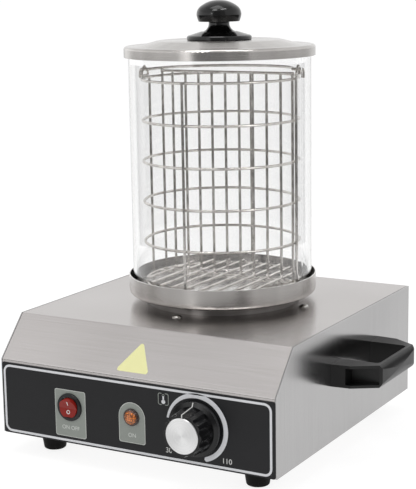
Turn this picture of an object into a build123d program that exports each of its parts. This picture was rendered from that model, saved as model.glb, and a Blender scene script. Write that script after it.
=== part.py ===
"""Countertop hot dog steamer, modelled as its separate pieces.

Frame: X to the right, Y to the back, Z up. The origin lies on the table, under the
middle of the whole appliance from the dial's face to the cable gland. Lengths are in
millimetres and angles in degrees.
"""
from build123d import *
import math
import os

# ---- housing of folded sheet steel -------------------------------------------------
BODY_WIDTH = 280.0
BODY_DEPTH = 290.0
BODY_HEIGHT = 105.0
FRONT_HEIGHT = 69.0        # upright part of the front
SLOPE_RUN = 33.0           # how far the slope runs back before it meets the top
SHEET = 1.0
BEND_RADIUS = 2.0
LAP_GAP = 0.1              # room between sheets that lap each other
SEAM_GAP = 0.6             # open seam between the wrapped sheet and each side panel
FLANGE = 14.0              # inward flange round each side panel
LIP = 12.0                 # bottom return of the front sheet
VENT_LENGTH = 34.0
VENT_WIDTH = 4.0
VENT_PITCH = 12.0
BACK_VENTS = 7
BACK_VENT_X = 30.0
BASE_VENTS = 9
BASE_VENT_Y = 55.0         # each row of base vents from the middle
BACK_SCREW_HEIGHT = 18.0   # from the housing's underside or its top
BASE_SCREW_INSET = 40.0    # from its front or its back

# ---- rubber feet -------------------------------------------------------------------
FOOT_HEIGHT = 19.5
FOOT_TOP_RADIUS = 13.0
FOOT_BOTTOM_RADIUS = 10.0
FOOT_EDGE = 2.0
FOOT_INSET_X = 34.0        # middle of each foot from the housing's side
FOOT_INSET_Y = 31.4        # and from its front or its back
FOOT_RECESS_RADIUS = 5.0
FOOT_RECESS_DEPTH = 9.0

# ---- screws: head radius, head height, shank radius, shank length ------------------
PAN_SCREW = (4.6, 2.6, 2.0, 8.0)
CASE_SCREW = (3.4, 1.8, 1.5, 6.0)
FOOT_SCREW = (4.4, 2.6, 2.0, 14.0)
HANDLE_SCREW = (4.2, 2.6, 2.4, 11.0)
LID_SCREW = (5.0, 3.0, 2.5, 16.0)
SCREW_FIT = 0.15           # room round a screw's shank
NUT_FLATS = 8.0
NUT_HEIGHT = 3.2

# ---- control panel -----------------------------------------------------------------
PANEL_HEIGHT = 66.4
PANEL_INSET = 1.0          # from each side of the housing
PANEL_THICKNESS = 0.5
PANEL_CORNER = 2.0
CONTROL_X = 65.0           # switch and dial stand this far from the middle
CONTROL_HEIGHT = 33.7      # of all three controls above the housing's underside

SWITCH_BEZEL_RADIUS = 12.7
SWITCH_BEZEL_DEPTH = 2.4
SWITCH_BARREL_RADIUS = 11.0
SWITCH_BARREL_DEPTH = 17.0
SWITCH_MOUTH_RADIUS = 9.5
SWITCH_MOUTH_DEPTH = 8.5
ROCKER_RADIUS = 9.0
ROCKER_SWING_RADIUS = 9.2
ROCKER_MIDDLE = 3.2        # height of the rocker's hollow above its pin
ROCKER_RISE = 2.2          # its two ends stand this much higher
ROCKER_DEPTH = 5.0         # below its pin
ROCKER_TILT = 8.0          # either side of level
ROCKER_PIN_RADIUS = 1.5
ROCKER_PIN_FIT = 0.05
ROCKER_PIN_REACH = 10.2
BLADE = (6.3, 9.0, 0.8)    # width, length and thickness of a terminal blade
BLADE_PITCH = 5.6

LAMP_LENS_RADIUS = 7.75
LAMP_LENS_HEIGHT = 5.0
LAMP_LENS_RIM = 1.4
LAMP_FACETS = 12
LAMP_BARREL_RADIUS = 5.6
LAMP_BARREL_LENGTH = 22.0
LAMP_NUT_FLATS = 15.0
LAMP_NUT_HEIGHT = 4.0

DIAL_SKIRT_RADIUS = 24.0
DIAL_SKIRT_EDGE = 5.0
DIAL_SKIRT_HEIGHT = 6.5
DIAL_HUB_BASE_RADIUS = 20.4
DIAL_HUB_TOP_RADIUS = 18.4
DIAL_HEIGHT = 25.0         # cap face above the skirt's back
DIAL_STANDOFF = 0.6        # between the panel and the skirt
DIAL_FLUTES = 12
DIAL_FLUTE_RADIUS = 5.0
DIAL_FLUTE_DEPTH = 1.6
DIAL_CAP_RADIUS = 15.5
DIAL_CAP_THICKNESS = 1.0
SHAFT_RADIUS = 3.0
SHAFT_FLAT = 1.6           # distance of the flat from the shaft's axis
SHAFT_FIT = 0.05
BUSH_RADIUS = 5.0
BUSH_LENGTH = 8.0
BUSH_NUT_FLATS = 14.0
BUSH_NUT_HEIGHT = 2.5
THERMOSTAT_WIDTH = 40.0
THERMOSTAT_HEIGHT = 36.0
THERMOSTAT_DEPTH = 20.0

# ---- water pan and heater ----------------------------------------------------------
TOWER_BACK = 19.8          # axis of pan, glass, basket and lid, behind the middle
PAN_RADIUS = 88.8
PAN_WALL_HEIGHT = 19.0
PAN_CORNER = 5.0
COLLAR_RADIUS = 72.5
COLLAR_HEIGHT = 7.7        # stands above the housing's top
COLLAR_FLANGE_RADIUS = 92.0
COLLAR_FIT = 0.4
PAN_SCREW_CIRCLE = 85.5
HOT_PLATE_RADIUS = 70.5
HOT_PLATE_THICKNESS = 6.0
ELEMENT_CIRCLE = 48.0
ELEMENT_RADIUS = 4.0
ELEMENT_GAP_ANGLE = 50.0
ELEMENT_TAIL = 18.0
CLAMP_WIDTH = 20.0
CLAMP_THICKNESS = 3.0
CLAMP_REACH = 88.0
CLAMP_STUD_RADIUS = 3.0
BULB_RADIUS = 3.0
BULB_LENGTH = 56.0
BULB_OFFSET = 22.0         # from the tower's axis

# ---- glass -------------------------------------------------------------------------
GLASS_RADIUS = 84.7
GLASS_WALL = 3.0
GLASS_EDGE = 0.8
REST_GAP = 0.3             # between loose pieces that stand on each other

# ---- lid ---------------------------------------------------------------------------
LID_RADIUS = 88.7
LID_RIM_Z = 335.1          # underside of the lid's rim, above the housing's underside
LID_SKIRT = 9.9
LID_EDGE = 2.6
LID_STEP_OUTER = 76.0
LID_STEP_INNER = 58.0
LID_STEP_RISE = 4.6
LID_STEP_BEND = 7.0
KNOB_FLANGE_RADIUS = 30.0
KNOB_FLANGE_EDGE = 4.2
KNOB_SHOULDER_RADIUS = 17.0
KNOB_SHOULDER_HEIGHT = 7.8
KNOB_NECK_BASE_RADIUS = 15.0
KNOB_NECK_RADIUS = 9.7
KNOB_HEAD_Z = 16.9         # underside of the head above the flange's underside
KNOB_HEAD_LOWER_RADIUS = 18.9
KNOB_HEAD_RADIUS = 20.7
KNOB_HEAD_BELLY = 6.0      # widest level above the head's underside
KNOB_HEAD_HEIGHT = 19.5
KNOB_BORE_DEPTH = 14.0      # the lid screw ends at its bottom

# ---- wire basket -------------------------------------------------------------------
WIRE_RADIUS = 1.25
RING_RADIUS = 72.5         # to the middle of the wire
RING_COUNT = 6
RING_PITCH = 37.9
BASKET_STAND = 11.6        # middle of the lowest ring above the pan's floor
UPRIGHT_ANGLES = (2.6, 94.2, 185.2, 274.0)   # from the front, towards the right
UPRIGHT_TOP = 1.2          # uprights end this far above the top ring's middle
DIVIDER_TOP = 4.6          # middle of its cross wire above the top ring's middle
DIVIDER_BACK = 10.0        # divider stands this far behind the tower's axis
DIVIDER_PITCH = 14.4
DIVIDER_WIRES = 9
DIVIDER_BEND = 4.0
EAR_TURN = 17.0            # bail pivot line, turned from +X towards +Y
EAR_WIRE_RADIUS = 1.1
EAR_WIDTH = 28.0           # of the ear's triangle, to its sharp corners
EAR_HEIGHT = 9.3           # of the same triangle
EAR_LEAN = 3.0             # outwards
EAR_CORNER = 1.6           # bends at its two feet
EAR_CROWN = 4.0            # bend at its top
BAIL_WIRE_RADIUS = 1.35
BAIL_IN_EAR = 5.6          # pivot above the middle of the ear's lower wire
BAIL_HALF_WIDTH = 67.5
BAIL_REACH = 71.0
BAIL_TAIL = 77.6           # bent-out ends reach this far from the axis
BAIL_HOOK = 8.0
BAIL_BEND = 2.5

# ---- carry handles -----------------------------------------------------------------
HANDLE_HEIGHT = 20.3
HANDLE_Z = 51.0            # underside above the housing's underside
HANDLE_BACK = 16.5         # middle of each handle behind the housing's middle
HANDLE_LENGTH = 109.0
HANDLE_REACH = 41.5
HANDLE_FOOT = 17.5         # straight part of each arm next to the housing
HANDLE_GRIP_LENGTH = 76.0
HANDLE_GRIP_THICKNESS = 5.5
HANDLE_GRIP_BOW = 1.6
HANDLE_GRIP_CROWN = 4.0    # its outer face bulges this much over its height
HANDLE_OPENING = 66.0
HANDLE_CORNER = 2.0
HANDLE_ARM_TAPER = 1.5     # each arm's outside draws in this much over its straight part
POCKET_WALL = 2.6
POCKET_START = 12.8        # from the housing's side
POCKET_TAPER = 3.0         # the pocket's inner side slants this much
POCKET_OVERRUN = 3.2       # how far the pocket runs into the grip's thickness

# ---- electrics inside --------------------------------------------------------------
GLAND_INSET = 50.0         # from the housing's left side
GLAND_HEIGHT = 26.0
GLAND_BORE_RADIUS = 3.6
GLAND_BODY_RADIUS = 6.2
GLAND_HEAD_RADIUS = 9.5
GLAND_HEAD_LENGTH = 9.0
GLAND_TAIL = 9.0
TERMINAL_BLOCK = (42.0, 20.0, 16.0)
TERMINAL_INSET = 80.0
TERMINAL_FROM_BACK = 53.0
EARTH_STUD_INSET = 28.0

# ---- levels and faces worked out from the sizes above ------------------------------
BASE_Z = FOOT_HEIGHT
TOP_Z = BASE_Z + BODY_HEIGHT
MIDDLE_Y = (PANEL_THICKNESS + DIAL_STANDOFF + DIAL_HEIGHT - GLAND_HEAD_LENGTH) / 2
FRONT_Y = MIDDLE_Y - BODY_DEPTH / 2
BACK_Y = MIDDLE_Y + BODY_DEPTH / 2
TOWER_Y = MIDDLE_Y + TOWER_BACK
HANDLE_Y = MIDDLE_Y + HANDLE_BACK
SIDE_X = BODY_WIDTH / 2
WRAP_X = SIDE_X - SHEET - SEAM_GAP
FOOT_X = SIDE_X - FOOT_INSET_X
FOOT_Y = BODY_DEPTH / 2 - FOOT_INSET_Y
GLAND_X = GLAND_INSET - SIDE_X
TERMINAL_X = TERMINAL_INSET - SIDE_X
EARTH_STUD_X = EARTH_STUD_INSET - SIDE_X
PANEL_Y = FRONT_Y - PANEL_THICKNESS
CONTROL_Z = BASE_Z + CONTROL_HEIGHT
BUSH_END = BUSH_LENGTH - PANEL_THICKNESS - SHEET
PAN_Z = TOP_Z + COLLAR_HEIGHT
PAN_FLOOR_Z = PAN_Z + SHEET
GLASS_Z = PAN_FLOOR_Z + REST_GAP
LID_Z = BASE_Z + LID_RIM_Z
LID_FLAT_Z = LID_Z + LID_SKIRT
LID_TOP_Z = LID_FLAT_Z + LID_STEP_RISE
GLASS_TOP_Z = LID_FLAT_Z - SHEET - REST_GAP
LOW_RING_Z = PAN_FLOOR_Z + BASKET_STAND
TOP_RING_Z = LOW_RING_Z + RING_PITCH * (RING_COUNT - 1)
FLOOR_WIRE_Z = LOW_RING_Z + 2 * WIRE_RADIUS
EAR_Z = TOP_RING_Z + WIRE_RADIUS + EAR_WIRE_RADIUS
BAIL_Z = EAR_Z + BAIL_IN_EAR
DIVIDER_Y = TOWER_Y + DIVIDER_BACK
HOT_PLATE_Z = PAN_Z - HOT_PLATE_THICKNESS
TOWER = Location((0, TOWER_Y, 0))


# ---- small helpers -----------------------------------------------------------------
def rod(radius, start, end):
    """Round bar from one point to another."""
    axis = Vector(*end) - Vector(*start)
    return Plane(origin=start, z_dir=axis) * Cylinder(
        radius, axis.length, align=(Align.CENTER, Align.CENTER, Align.MIN))


def upright_cylinder(radius, low, high):
    """Cylinder on the Z axis between two levels."""
    return Pos(0, 0, low) * Cylinder(
        radius, high - low, align=(Align.CENTER, Align.CENTER, Align.MIN))


def ring_solid(outer, inner, low, high):
    """Plain ring on the Z axis between two levels."""
    return upright_cylinder(outer, low, high) - upright_cylinder(inner, low, high)


def block(low, high):
    """Box between two corners."""
    size = [b - a for a, b in zip(low, high)]
    return Pos(*low) * Box(*size, align=Align.MIN)


def hexagon_nut(flats, height, bore):
    """Nut standing on the XY plane."""
    body = extrude(RegularPolygon(flats / 2, 6, major_radius=False), height)
    return body - upright_cylinder(bore, 0, height)


def turned(*lines):
    """Solid of revolution about Z from lines drawn as (radius, height)."""
    return revolve(Plane.XZ * make_face(Curve() + list(lines)), Axis.Z)


def screw(sizes):
    """Dome-headed screw: its seat is at the origin and its shank points down."""
    head_radius, head_height, shank_radius, shank_length = sizes
    edge = head_height * 0.3
    ball = (head_radius ** 2 + (head_height - edge) ** 2) / (2 * (head_height - edge))
    halfway = head_height - ball + math.sqrt(ball ** 2 - head_radius ** 2 / 4)
    outline = [
        Line((0, -shank_length), (shank_radius, -shank_length)),
        Line((shank_radius, -shank_length), (shank_radius, 0)),
        Line((shank_radius, 0), (head_radius, 0)),
        Line((head_radius, 0), (head_radius, edge)),
        ThreePointArc((head_radius, edge), (head_radius / 2, halfway), (0, head_height)),
        Line((0, head_height), (0, -shank_length))]
    return turned(*outline)


def facing_front(x, z, y=PANEL_Y):
    """Place whose own +Z points out of the control panel."""
    return Plane(origin=(x, y, z), x_dir=(1, 0, 0), z_dir=(0, -1, 0))


def round_the_tower(shape, radius, angles, level):
    """Copies of a shape on a circle about the tower, angles from the front."""
    places = [(math.sin(math.radians(a)) * radius,
               TOWER_Y - math.cos(math.radians(a)) * radius, level) for a in angles]
    return [Pos(*place) * shape for place in places]


def slot_row(count, plane):
    """Row of rounded vent slots cut through a panel that lies on the plane."""
    start = -VENT_PITCH * (count - 1) / 2
    row = Sketch() + [Pos(start + VENT_PITCH * i, 0) * Rot(0, 0, 90)
                      * SlotOverall(VENT_LENGTH, VENT_WIDTH) for i in range(count)]
    return extrude(plane * row, 3 * SHEET, both=True)


def save(node, *solids):
    """Write one node; separate pieces of a node stay separate solids."""
    pieces = [piece for solid in solids for piece in solid.solids()]
    shape = pieces[0] if len(pieces) == 1 else Compound(children=pieces)
    export_step(shape, f"parts/{node}.step")


# ---- housing -----------------------------------------------------------------------
def housing_outline(inset=0.0):
    """Side view of the housing, drawn inwards by inset all round."""
    corners = [(FRONT_Y, BASE_Z), (FRONT_Y, BASE_Z + FRONT_HEIGHT),
               (FRONT_Y + SLOPE_RUN, TOP_Z), (BACK_Y, TOP_Z), (BACK_Y, BASE_Z)]
    shape = make_face(Polyline(*corners, close=True))
    bends = [v for v in shape.vertices() if v.Y > BASE_Z + 1 and v.X < BACK_Y - 1]
    shape = fillet(bends, BEND_RADIUS)
    if inset:
        shape = offset(shape, amount=-inset, kind=Kind.INTERSECTION)
    return Plane.YZ * shape


def front_holes():
    """Cut-outs for the switch, the lamp and the thermostat's bush."""
    depth = 4 * (SHEET + PANEL_THICKNESS)
    radii = [(-CONTROL_X, SWITCH_BARREL_RADIUS), (0, LAMP_BARREL_RADIUS),
             (CONTROL_X, BUSH_RADIUS)]
    return [facing_front(x, CONTROL_Z) * Cylinder(r + SCREW_FIT, depth)
            for x, r in radii]


def pan_screw_angles():
    """The four dome-headed screws stand a quarter turn apart."""
    return [90 * i for i in range(4)]


def front_top_shell():
    """One folded sheet: bottom lip, front, slope and top."""
    outer = extrude(housing_outline(), WRAP_X, both=True)
    inner = extrude(housing_outline(SHEET), SIDE_X, both=True)
    back = block((-SIDE_X, BACK_Y - SHEET, BASE_Z), (SIDE_X, BACK_Y, TOP_Z - SHEET))
    bottom = block((-SIDE_X, FRONT_Y + LIP, BASE_Z), (SIDE_X, BACK_Y, BASE_Z + SHEET))
    shell = outer - inner - back - bottom
    collar_hole = TOWER * upright_cylinder(COLLAR_RADIUS + COLLAR_FIT,
                                           TOP_Z - 2 * SHEET, TOP_Z + SHEET)
    shank = Cylinder(PAN_SCREW[2] + SCREW_FIT, 4 * SHEET)
    screw_holes = round_the_tower(shank, PAN_SCREW_CIRCLE, pan_screw_angles(), TOP_Z)
    return shell - collar_hole - screw_holes - front_holes()


def handle_screw_places():
    """Where each handle is bolted, as (y, z)."""
    arm = (HANDLE_LENGTH + HANDLE_OPENING) / 4
    middle = BASE_Z + HANDLE_Z + HANDLE_HEIGHT / 2
    return [(HANDLE_Y - arm, middle), (HANDLE_Y + arm, middle)]


def side_panel():
    """Right side panel: a plate with a flange that lies under the other sheets."""
    plate = Pos(SIDE_X - SHEET, 0, 0) * extrude(housing_outline(), SHEET)
    rim = housing_outline(SHEET + LAP_GAP) - housing_outline(2 * SHEET + LAP_GAP)
    flange = Pos(SIDE_X - SHEET - FLANGE, 0, 0) * extrude(rim, FLANGE)
    panel = plate + flange
    for y, z in handle_screw_places():
        panel -= Pos(SIDE_X, y, z) * Rot(0, 90, 0) * Cylinder(
            HANDLE_SCREW[2] + SCREW_FIT, 4 * SHEET)
    return panel - case_screw_holes()


def case_screw_places():
    """Seats and directions of the screws that hold the back and the base."""
    x = SIDE_X - SHEET - FLANGE / 2
    back = [((side * x, BACK_Y, BASE_Z + height), (0, 1, 0))
            for side in (-1, 1)
            for height in (BACK_SCREW_HEIGHT, BODY_HEIGHT - BACK_SCREW_HEIGHT)]
    base = [((side * x, y, BASE_Z), (0, 0, -1))
            for side in (-1, 1)
            for y in (FRONT_Y + BASE_SCREW_INSET, BACK_Y - BASE_SCREW_INSET)]
    return back + base


def case_screw_holes():
    """Clearance holes for the case screws."""
    radius = CASE_SCREW[2] + SCREW_FIT
    return [Plane(origin=seat, z_dir=out) * Cylinder(radius, 6 * SHEET)
            for seat, out in case_screw_places()]


def back_panel():
    """Flat back with vent slots and the hole for the cable gland."""
    plate = block((-WRAP_X, BACK_Y - SHEET, BASE_Z),
                  (WRAP_X, BACK_Y, TOP_Z - SHEET - LAP_GAP))
    vents = slot_row(BACK_VENTS, Plane(origin=(BACK_VENT_X, BACK_Y, BASE_Z + BODY_HEIGHT / 2),
                                       x_dir=(1, 0, 0), z_dir=(0, -1, 0)))
    gland = Pos(GLAND_X, BACK_Y, BASE_Z + GLAND_HEIGHT) * Rot(90, 0, 0) * Cylinder(
        GLAND_BODY_RADIUS + SCREW_FIT, 4 * SHEET)
    earth = Pos(EARTH_STUD_X, BACK_Y, BASE_Z + GLAND_HEIGHT) * Rot(90, 0, 0) * Cylinder(
        CASE_SCREW[2] + SCREW_FIT, 4 * SHEET)
    return plate - vents - gland - earth - case_screw_holes()


def foot_places():
    """Centres of the four feet."""
    return [(sx * FOOT_X, MIDDLE_Y + sy * FOOT_Y) for sx in (-1, 1) for sy in (-1, 1)]


def base_plate():
    """Bottom sheet between the front lip and the back, with vent slots."""
    plate = block((-WRAP_X, FRONT_Y + LIP + LAP_GAP, BASE_Z),
                  (WRAP_X, BACK_Y - SHEET - LAP_GAP, BASE_Z + SHEET))
    for y in (MIDDLE_Y - BASE_VENT_Y, MIDDLE_Y + BASE_VENT_Y):
        plate -= slot_row(BASE_VENTS, Plane(origin=(0, y, BASE_Z)))
    shank = Cylinder(FOOT_SCREW[2] + SCREW_FIT, 4 * SHEET)
    holes = [Pos(x, y, BASE_Z) * shank for x, y in foot_places()]
    return plate - holes - case_screw_holes()


def foot():
    """Tapered rubber foot, hollow below for its screw."""
    outline = make_face(Polyline((0, 0), (FOOT_BOTTOM_RADIUS, 0),
                                 (FOOT_TOP_RADIUS, FOOT_HEIGHT), (0, FOOT_HEIGHT),
                                 close=True))
    rim = [v for v in outline.vertices() if v.Y < 1 and v.X > 1]
    body = revolve(Plane.XZ * fillet(rim, FOOT_EDGE), Axis.Z)
    recess = upright_cylinder(FOOT_RECESS_RADIUS, 0, FOOT_RECESS_DEPTH)
    hole = upright_cylinder(FOOT_SCREW[2] + SCREW_FIT, 0, FOOT_HEIGHT)
    return body - recess - hole


def carry_handle():
    """Moulded D-handle on the right side, with a pocket in each arm."""
    half = HANDLE_LENGTH / 2
    grip = HANDLE_GRIP_LENGTH / 2
    outer = Curve() + [
        Polyline((0, -half), (HANDLE_FOOT, HANDLE_ARM_TAPER - half), (HANDLE_REACH, -grip)),
        ThreePointArc((HANDLE_REACH, -grip), (HANDLE_REACH + HANDLE_GRIP_BOW, 0),
                      (HANDLE_REACH, grip)),
        Polyline((HANDLE_REACH, grip), (HANDLE_FOOT, half - HANDLE_ARM_TAPER), (0, half),
                 (0, -half))]
    outer = make_face(outer)
    corners = [v for v in outer.vertices() if v.X > 1]
    outer = fillet(corners, HANDLE_CORNER)
    gap = HANDLE_OPENING / 2
    inside = HANDLE_REACH - HANDLE_GRIP_THICKNESS
    opening = make_face(Polyline((0, -gap), (inside, -gap), (inside, gap), (0, gap),
                                 close=True))
    opening = fillet([v for v in opening.vertices() if v.X > 1], 2 * HANDLE_CORNER)
    low = BASE_Z + HANDLE_Z
    body = extrude(Pos(SIDE_X, HANDLE_Y, low) * (outer - opening), HANDLE_HEIGHT)
    body &= Pos(SIDE_X, HANDLE_Y, low) * handle_crown()
    body -= [handle_pocket(sign) for sign in (-1, 1)]
    for y, z in handle_screw_places():
        body -= rod(HANDLE_SCREW[2] + SCREW_FIT, (SIDE_X, y, z),
                    (SIDE_X + HANDLE_SCREW[3], y, z))
    return body


def handle_crown():
    """Block whose outer side bulges as the grip's face does."""
    widest = HANDLE_REACH + HANDLE_GRIP_BOW
    edge = widest - HANDLE_GRIP_CROWN
    side = ThreePointArc((edge, 0), (widest, HANDLE_HEIGHT / 2), (edge, HANDLE_HEIGHT))
    rest = Polyline((edge, HANDLE_HEIGHT), (0, HANDLE_HEIGHT), (0, 0), (edge, 0))
    return extrude(Plane.XZ * make_face(Curve() + [side, rest]), HANDLE_LENGTH, both=True)


def handle_pocket(sign):
    """Hollow that is open on the outer face of one arm."""
    half = HANDLE_LENGTH / 2
    gap = HANDLE_OPENING / 2
    far = HANDLE_REACH - HANDLE_GRIP_THICKNESS + POCKET_OVERRUN
    wall = gap + POCKET_WALL
    shape = make_face(Polyline((POCKET_START, wall + POCKET_TAPER), (far, wall),
                               (far, half), (POCKET_START, half), close=True))
    low = BASE_Z + HANDLE_Z + POCKET_WALL
    pocket = extrude(shape, HANDLE_HEIGHT - 2 * POCKET_WALL)
    if sign < 0:
        pocket = mirror(pocket, about=Plane.XZ)
    return Pos(SIDE_X, HANDLE_Y, low) * pocket


# ---- controls ----------------------------------------------------------------------
def control_panel():
    """Black film that covers the upright front."""
    width = BODY_WIDTH - 2 * PANEL_INSET
    sheet = RectangleRounded(width, PANEL_HEIGHT, PANEL_CORNER)
    plane = facing_front(0, BASE_Z + PANEL_HEIGHT / 2, FRONT_Y)
    return extrude(plane * sheet, PANEL_THICKNESS) - front_holes()


def switch_housing():
    """Round bezel and barrel with a mouth for the rocker and holes for its pin."""
    bezel = upright_cylinder(SWITCH_BEZEL_RADIUS, 0, SWITCH_BEZEL_DEPTH)
    bezel = fillet(bezel.edges().group_by(Axis.Z)[-1], 1.2)
    barrel = upright_cylinder(SWITCH_BARREL_RADIUS, -SWITCH_BARREL_DEPTH, 0)
    mouth = upright_cylinder(SWITCH_MOUTH_RADIUS, -SWITCH_MOUTH_DEPTH, 9)
    pin = Rot(0, 90, 0) * Cylinder(ROCKER_PIN_RADIUS + ROCKER_PIN_FIT,
                                   2 * (ROCKER_PIN_REACH + 0.2))
    return facing_front(-CONTROL_X, CONTROL_Z) * (bezel + barrel - mouth - pin)


def rocker():
    """Round rocker with a hollowed front, tilted to its resting side."""
    end = ROCKER_MIDDLE + ROCKER_RISE
    reach = ROCKER_SWING_RADIUS
    side = Plane.YZ * make_face(Polyline(
        (-reach, -ROCKER_DEPTH), (reach, -ROCKER_DEPTH), (reach, end),
        (0, ROCKER_MIDDLE), (-reach, end), close=True))
    body = extrude(side, ROCKER_RADIUS, both=True)
    body &= Cylinder(ROCKER_RADIUS, 4 * ROCKER_RADIUS)
    body &= Rot(0, 90, 0) * Cylinder(ROCKER_SWING_RADIUS, 4 * ROCKER_RADIUS)
    pin = Rot(0, 90, 0) * Cylinder(ROCKER_PIN_RADIUS, 2 * ROCKER_PIN_REACH)
    return facing_front(-CONTROL_X, CONTROL_Z) * (Rot(ROCKER_TILT, 0, 0) * (body + pin))


def switch_terminals():
    """Three brass blades behind the switch."""
    width, length, thickness = BLADE
    low = -SWITCH_BARREL_DEPTH - length
    blades = [Pos(0, BLADE_PITCH * i, low) * Box(
        width, thickness, length, align=(Align.CENTER, Align.CENTER, Align.MIN))
        for i in (-1, 0, 1)]
    return [facing_front(-CONTROL_X, CONTROL_Z) * blade for blade in blades]


def lamp_lens():
    """Faceted lens with a round rim."""
    rim = upright_cylinder(LAMP_LENS_RADIUS, 0, LAMP_LENS_RIM)
    base = Pos(0, 0, LAMP_LENS_RIM) * RegularPolygon(LAMP_LENS_RADIUS - 0.5, LAMP_FACETS)
    middle = Pos(0, 0, LAMP_LENS_HEIGHT * 0.7) * RegularPolygon(
        LAMP_LENS_RADIUS * 0.66, LAMP_FACETS)
    top = Pos(0, 0, LAMP_LENS_HEIGHT) * RegularPolygon(LAMP_LENS_RADIUS * 0.3, LAMP_FACETS)
    cone = loft([base, middle], ruled=True) + loft([middle, top], ruled=True)
    return facing_front(0, CONTROL_Z) * (rim + cone)


def lamp_body():
    """Threaded barrel of the lamp with its two leads' pins."""
    barrel = upright_cylinder(LAMP_BARREL_RADIUS, -LAMP_BARREL_LENGTH, 0)
    pins = [Pos(x, 0, 0) * upright_cylinder(0.8, -LAMP_BARREL_LENGTH - 6,
                                            -LAMP_BARREL_LENGTH) for x in (-2.5, 2.5)]
    return facing_front(0, CONTROL_Z) * (barrel + pins)


def lamp_nut():
    """Nut that holds the lamp from behind."""
    behind = PANEL_THICKNESS + SHEET + LAMP_NUT_HEIGHT
    nut = hexagon_nut(LAMP_NUT_FLATS, LAMP_NUT_HEIGHT, LAMP_BARREL_RADIUS)
    return facing_front(0, CONTROL_Z) * Pos(0, 0, -behind) * nut


def dial_knob():
    """Skirted knob with a fluted hub and a D-shaped bore."""
    low = DIAL_STANDOFF
    skirt_z = low + DIAL_SKIRT_HEIGHT
    cap_z = low + DIAL_HEIGHT - DIAL_CAP_THICKNESS
    body = turned(
        Line((0, low), (DIAL_SKIRT_RADIUS, low)),
        Line((DIAL_SKIRT_RADIUS, low), (DIAL_SKIRT_RADIUS, low + DIAL_SKIRT_EDGE)),
        Line((DIAL_SKIRT_RADIUS, low + DIAL_SKIRT_EDGE), (DIAL_HUB_BASE_RADIUS, skirt_z)),
        Line((DIAL_HUB_BASE_RADIUS, skirt_z), (DIAL_HUB_TOP_RADIUS, cap_z)),
        Line((DIAL_HUB_TOP_RADIUS, cap_z), (0, cap_z)),
        Line((0, cap_z), (0, low)))
    ring = DIAL_HUB_BASE_RADIUS + DIAL_FLUTE_RADIUS - DIAL_FLUTE_DEPTH
    lean = math.degrees(math.atan2(DIAL_HUB_BASE_RADIUS - DIAL_HUB_TOP_RADIUS,
                                   cap_z - skirt_z))
    flute = Pos(ring, 0, skirt_z + 0.8) * Rot(0, -lean, 0) * Cylinder(
        DIAL_FLUTE_RADIUS, DIAL_HEIGHT, align=(Align.CENTER, Align.CENTER, Align.MIN))
    body -= [Rot(0, 0, 360 * (i + 0.5) / DIAL_FLUTES + 90) * flute
             for i in range(DIAL_FLUTES)]
    bush_room = upright_cylinder(BUSH_NUT_FLATS * 0.6 + 1.0, low, BUSH_END + 0.6)
    bore = upright_cylinder(SHAFT_RADIUS + SHAFT_FIT, low, low + DIAL_HEIGHT * 0.75)
    flat = Pos(0, SHAFT_FLAT + SHAFT_FIT + SHAFT_RADIUS, 0) * Box(
        4 * SHAFT_RADIUS, 2 * SHAFT_RADIUS, 4 * DIAL_HEIGHT)
    return facing_front(CONTROL_X, CONTROL_Z) * (body - bush_room - (bore - flat))


def dial_cap():
    """Spun aluminium disc on the knob's face."""
    high = DIAL_STANDOFF + DIAL_HEIGHT
    disc = upright_cylinder(DIAL_CAP_RADIUS, high - DIAL_CAP_THICKNESS, high)
    disc = chamfer(disc.edges().group_by(Axis.Z)[-1], DIAL_CAP_THICKNESS * 0.35)
    return facing_front(CONTROL_X, CONTROL_Z) * disc


def thermostat_shaft():
    """D-shaped spindle from the thermostat into the knob."""
    high = DIAL_STANDOFF + DIAL_HEIGHT * 0.75 - 0.5
    low = -PANEL_THICKNESS - SHEET - 6.0
    shaft = upright_cylinder(SHAFT_RADIUS, low, high)
    flat = Pos(0, SHAFT_FLAT + SHAFT_RADIUS, BUSH_END + 0.2) * Box(
        4 * SHAFT_RADIUS, 2 * SHAFT_RADIUS, 2 * DIAL_HEIGHT,
        align=(Align.CENTER, Align.CENTER, Align.MIN))
    return facing_front(CONTROL_X, CONTROL_Z) * (shaft - flat)


def thermostat_body():
    """Capillary thermostat behind the panel, with its threaded bush."""
    back = -PANEL_THICKNESS - SHEET
    case = Pos(0, 0, back - THERMOSTAT_DEPTH) * Box(
        THERMOSTAT_WIDTH, THERMOSTAT_HEIGHT, THERMOSTAT_DEPTH,
        align=(Align.CENTER, Align.CENTER, Align.MIN))
    case = fillet(case.edges().filter_by(Axis.Z), 2)
    bush = upright_cylinder(BUSH_RADIUS, back, back + BUSH_LENGTH)
    bore = upright_cylinder(SHAFT_RADIUS + SHAFT_FIT, back - 6.5, back + BUSH_LENGTH)
    return facing_front(CONTROL_X, CONTROL_Z) * (case + bush - bore)


def bush_nut():
    """Flat nut on the bush, hidden under the knob."""
    nut = hexagon_nut(BUSH_NUT_FLATS, BUSH_NUT_HEIGHT, BUSH_RADIUS)
    return facing_front(CONTROL_X, CONTROL_Z) * nut


# ---- pan and heater ----------------------------------------------------------------
def water_pan():
    """Spun pan with a rounded corner and a stud under its floor."""
    high = PAN_Z + PAN_WALL_HEIGHT
    outer = upright_cylinder(PAN_RADIUS, PAN_Z, high)
    outer = fillet(outer.edges().group_by(Axis.Z)[0], PAN_CORNER)
    inner = upright_cylinder(PAN_RADIUS - SHEET, PAN_FLOOR_Z, high + 1)
    inner = fillet(inner.edges().group_by(Axis.Z)[0], PAN_CORNER - SHEET)
    stud = upright_cylinder(CLAMP_STUD_RADIUS, clamp_level() - 10.0, PAN_Z)
    return TOWER * (outer - inner + stud)


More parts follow.
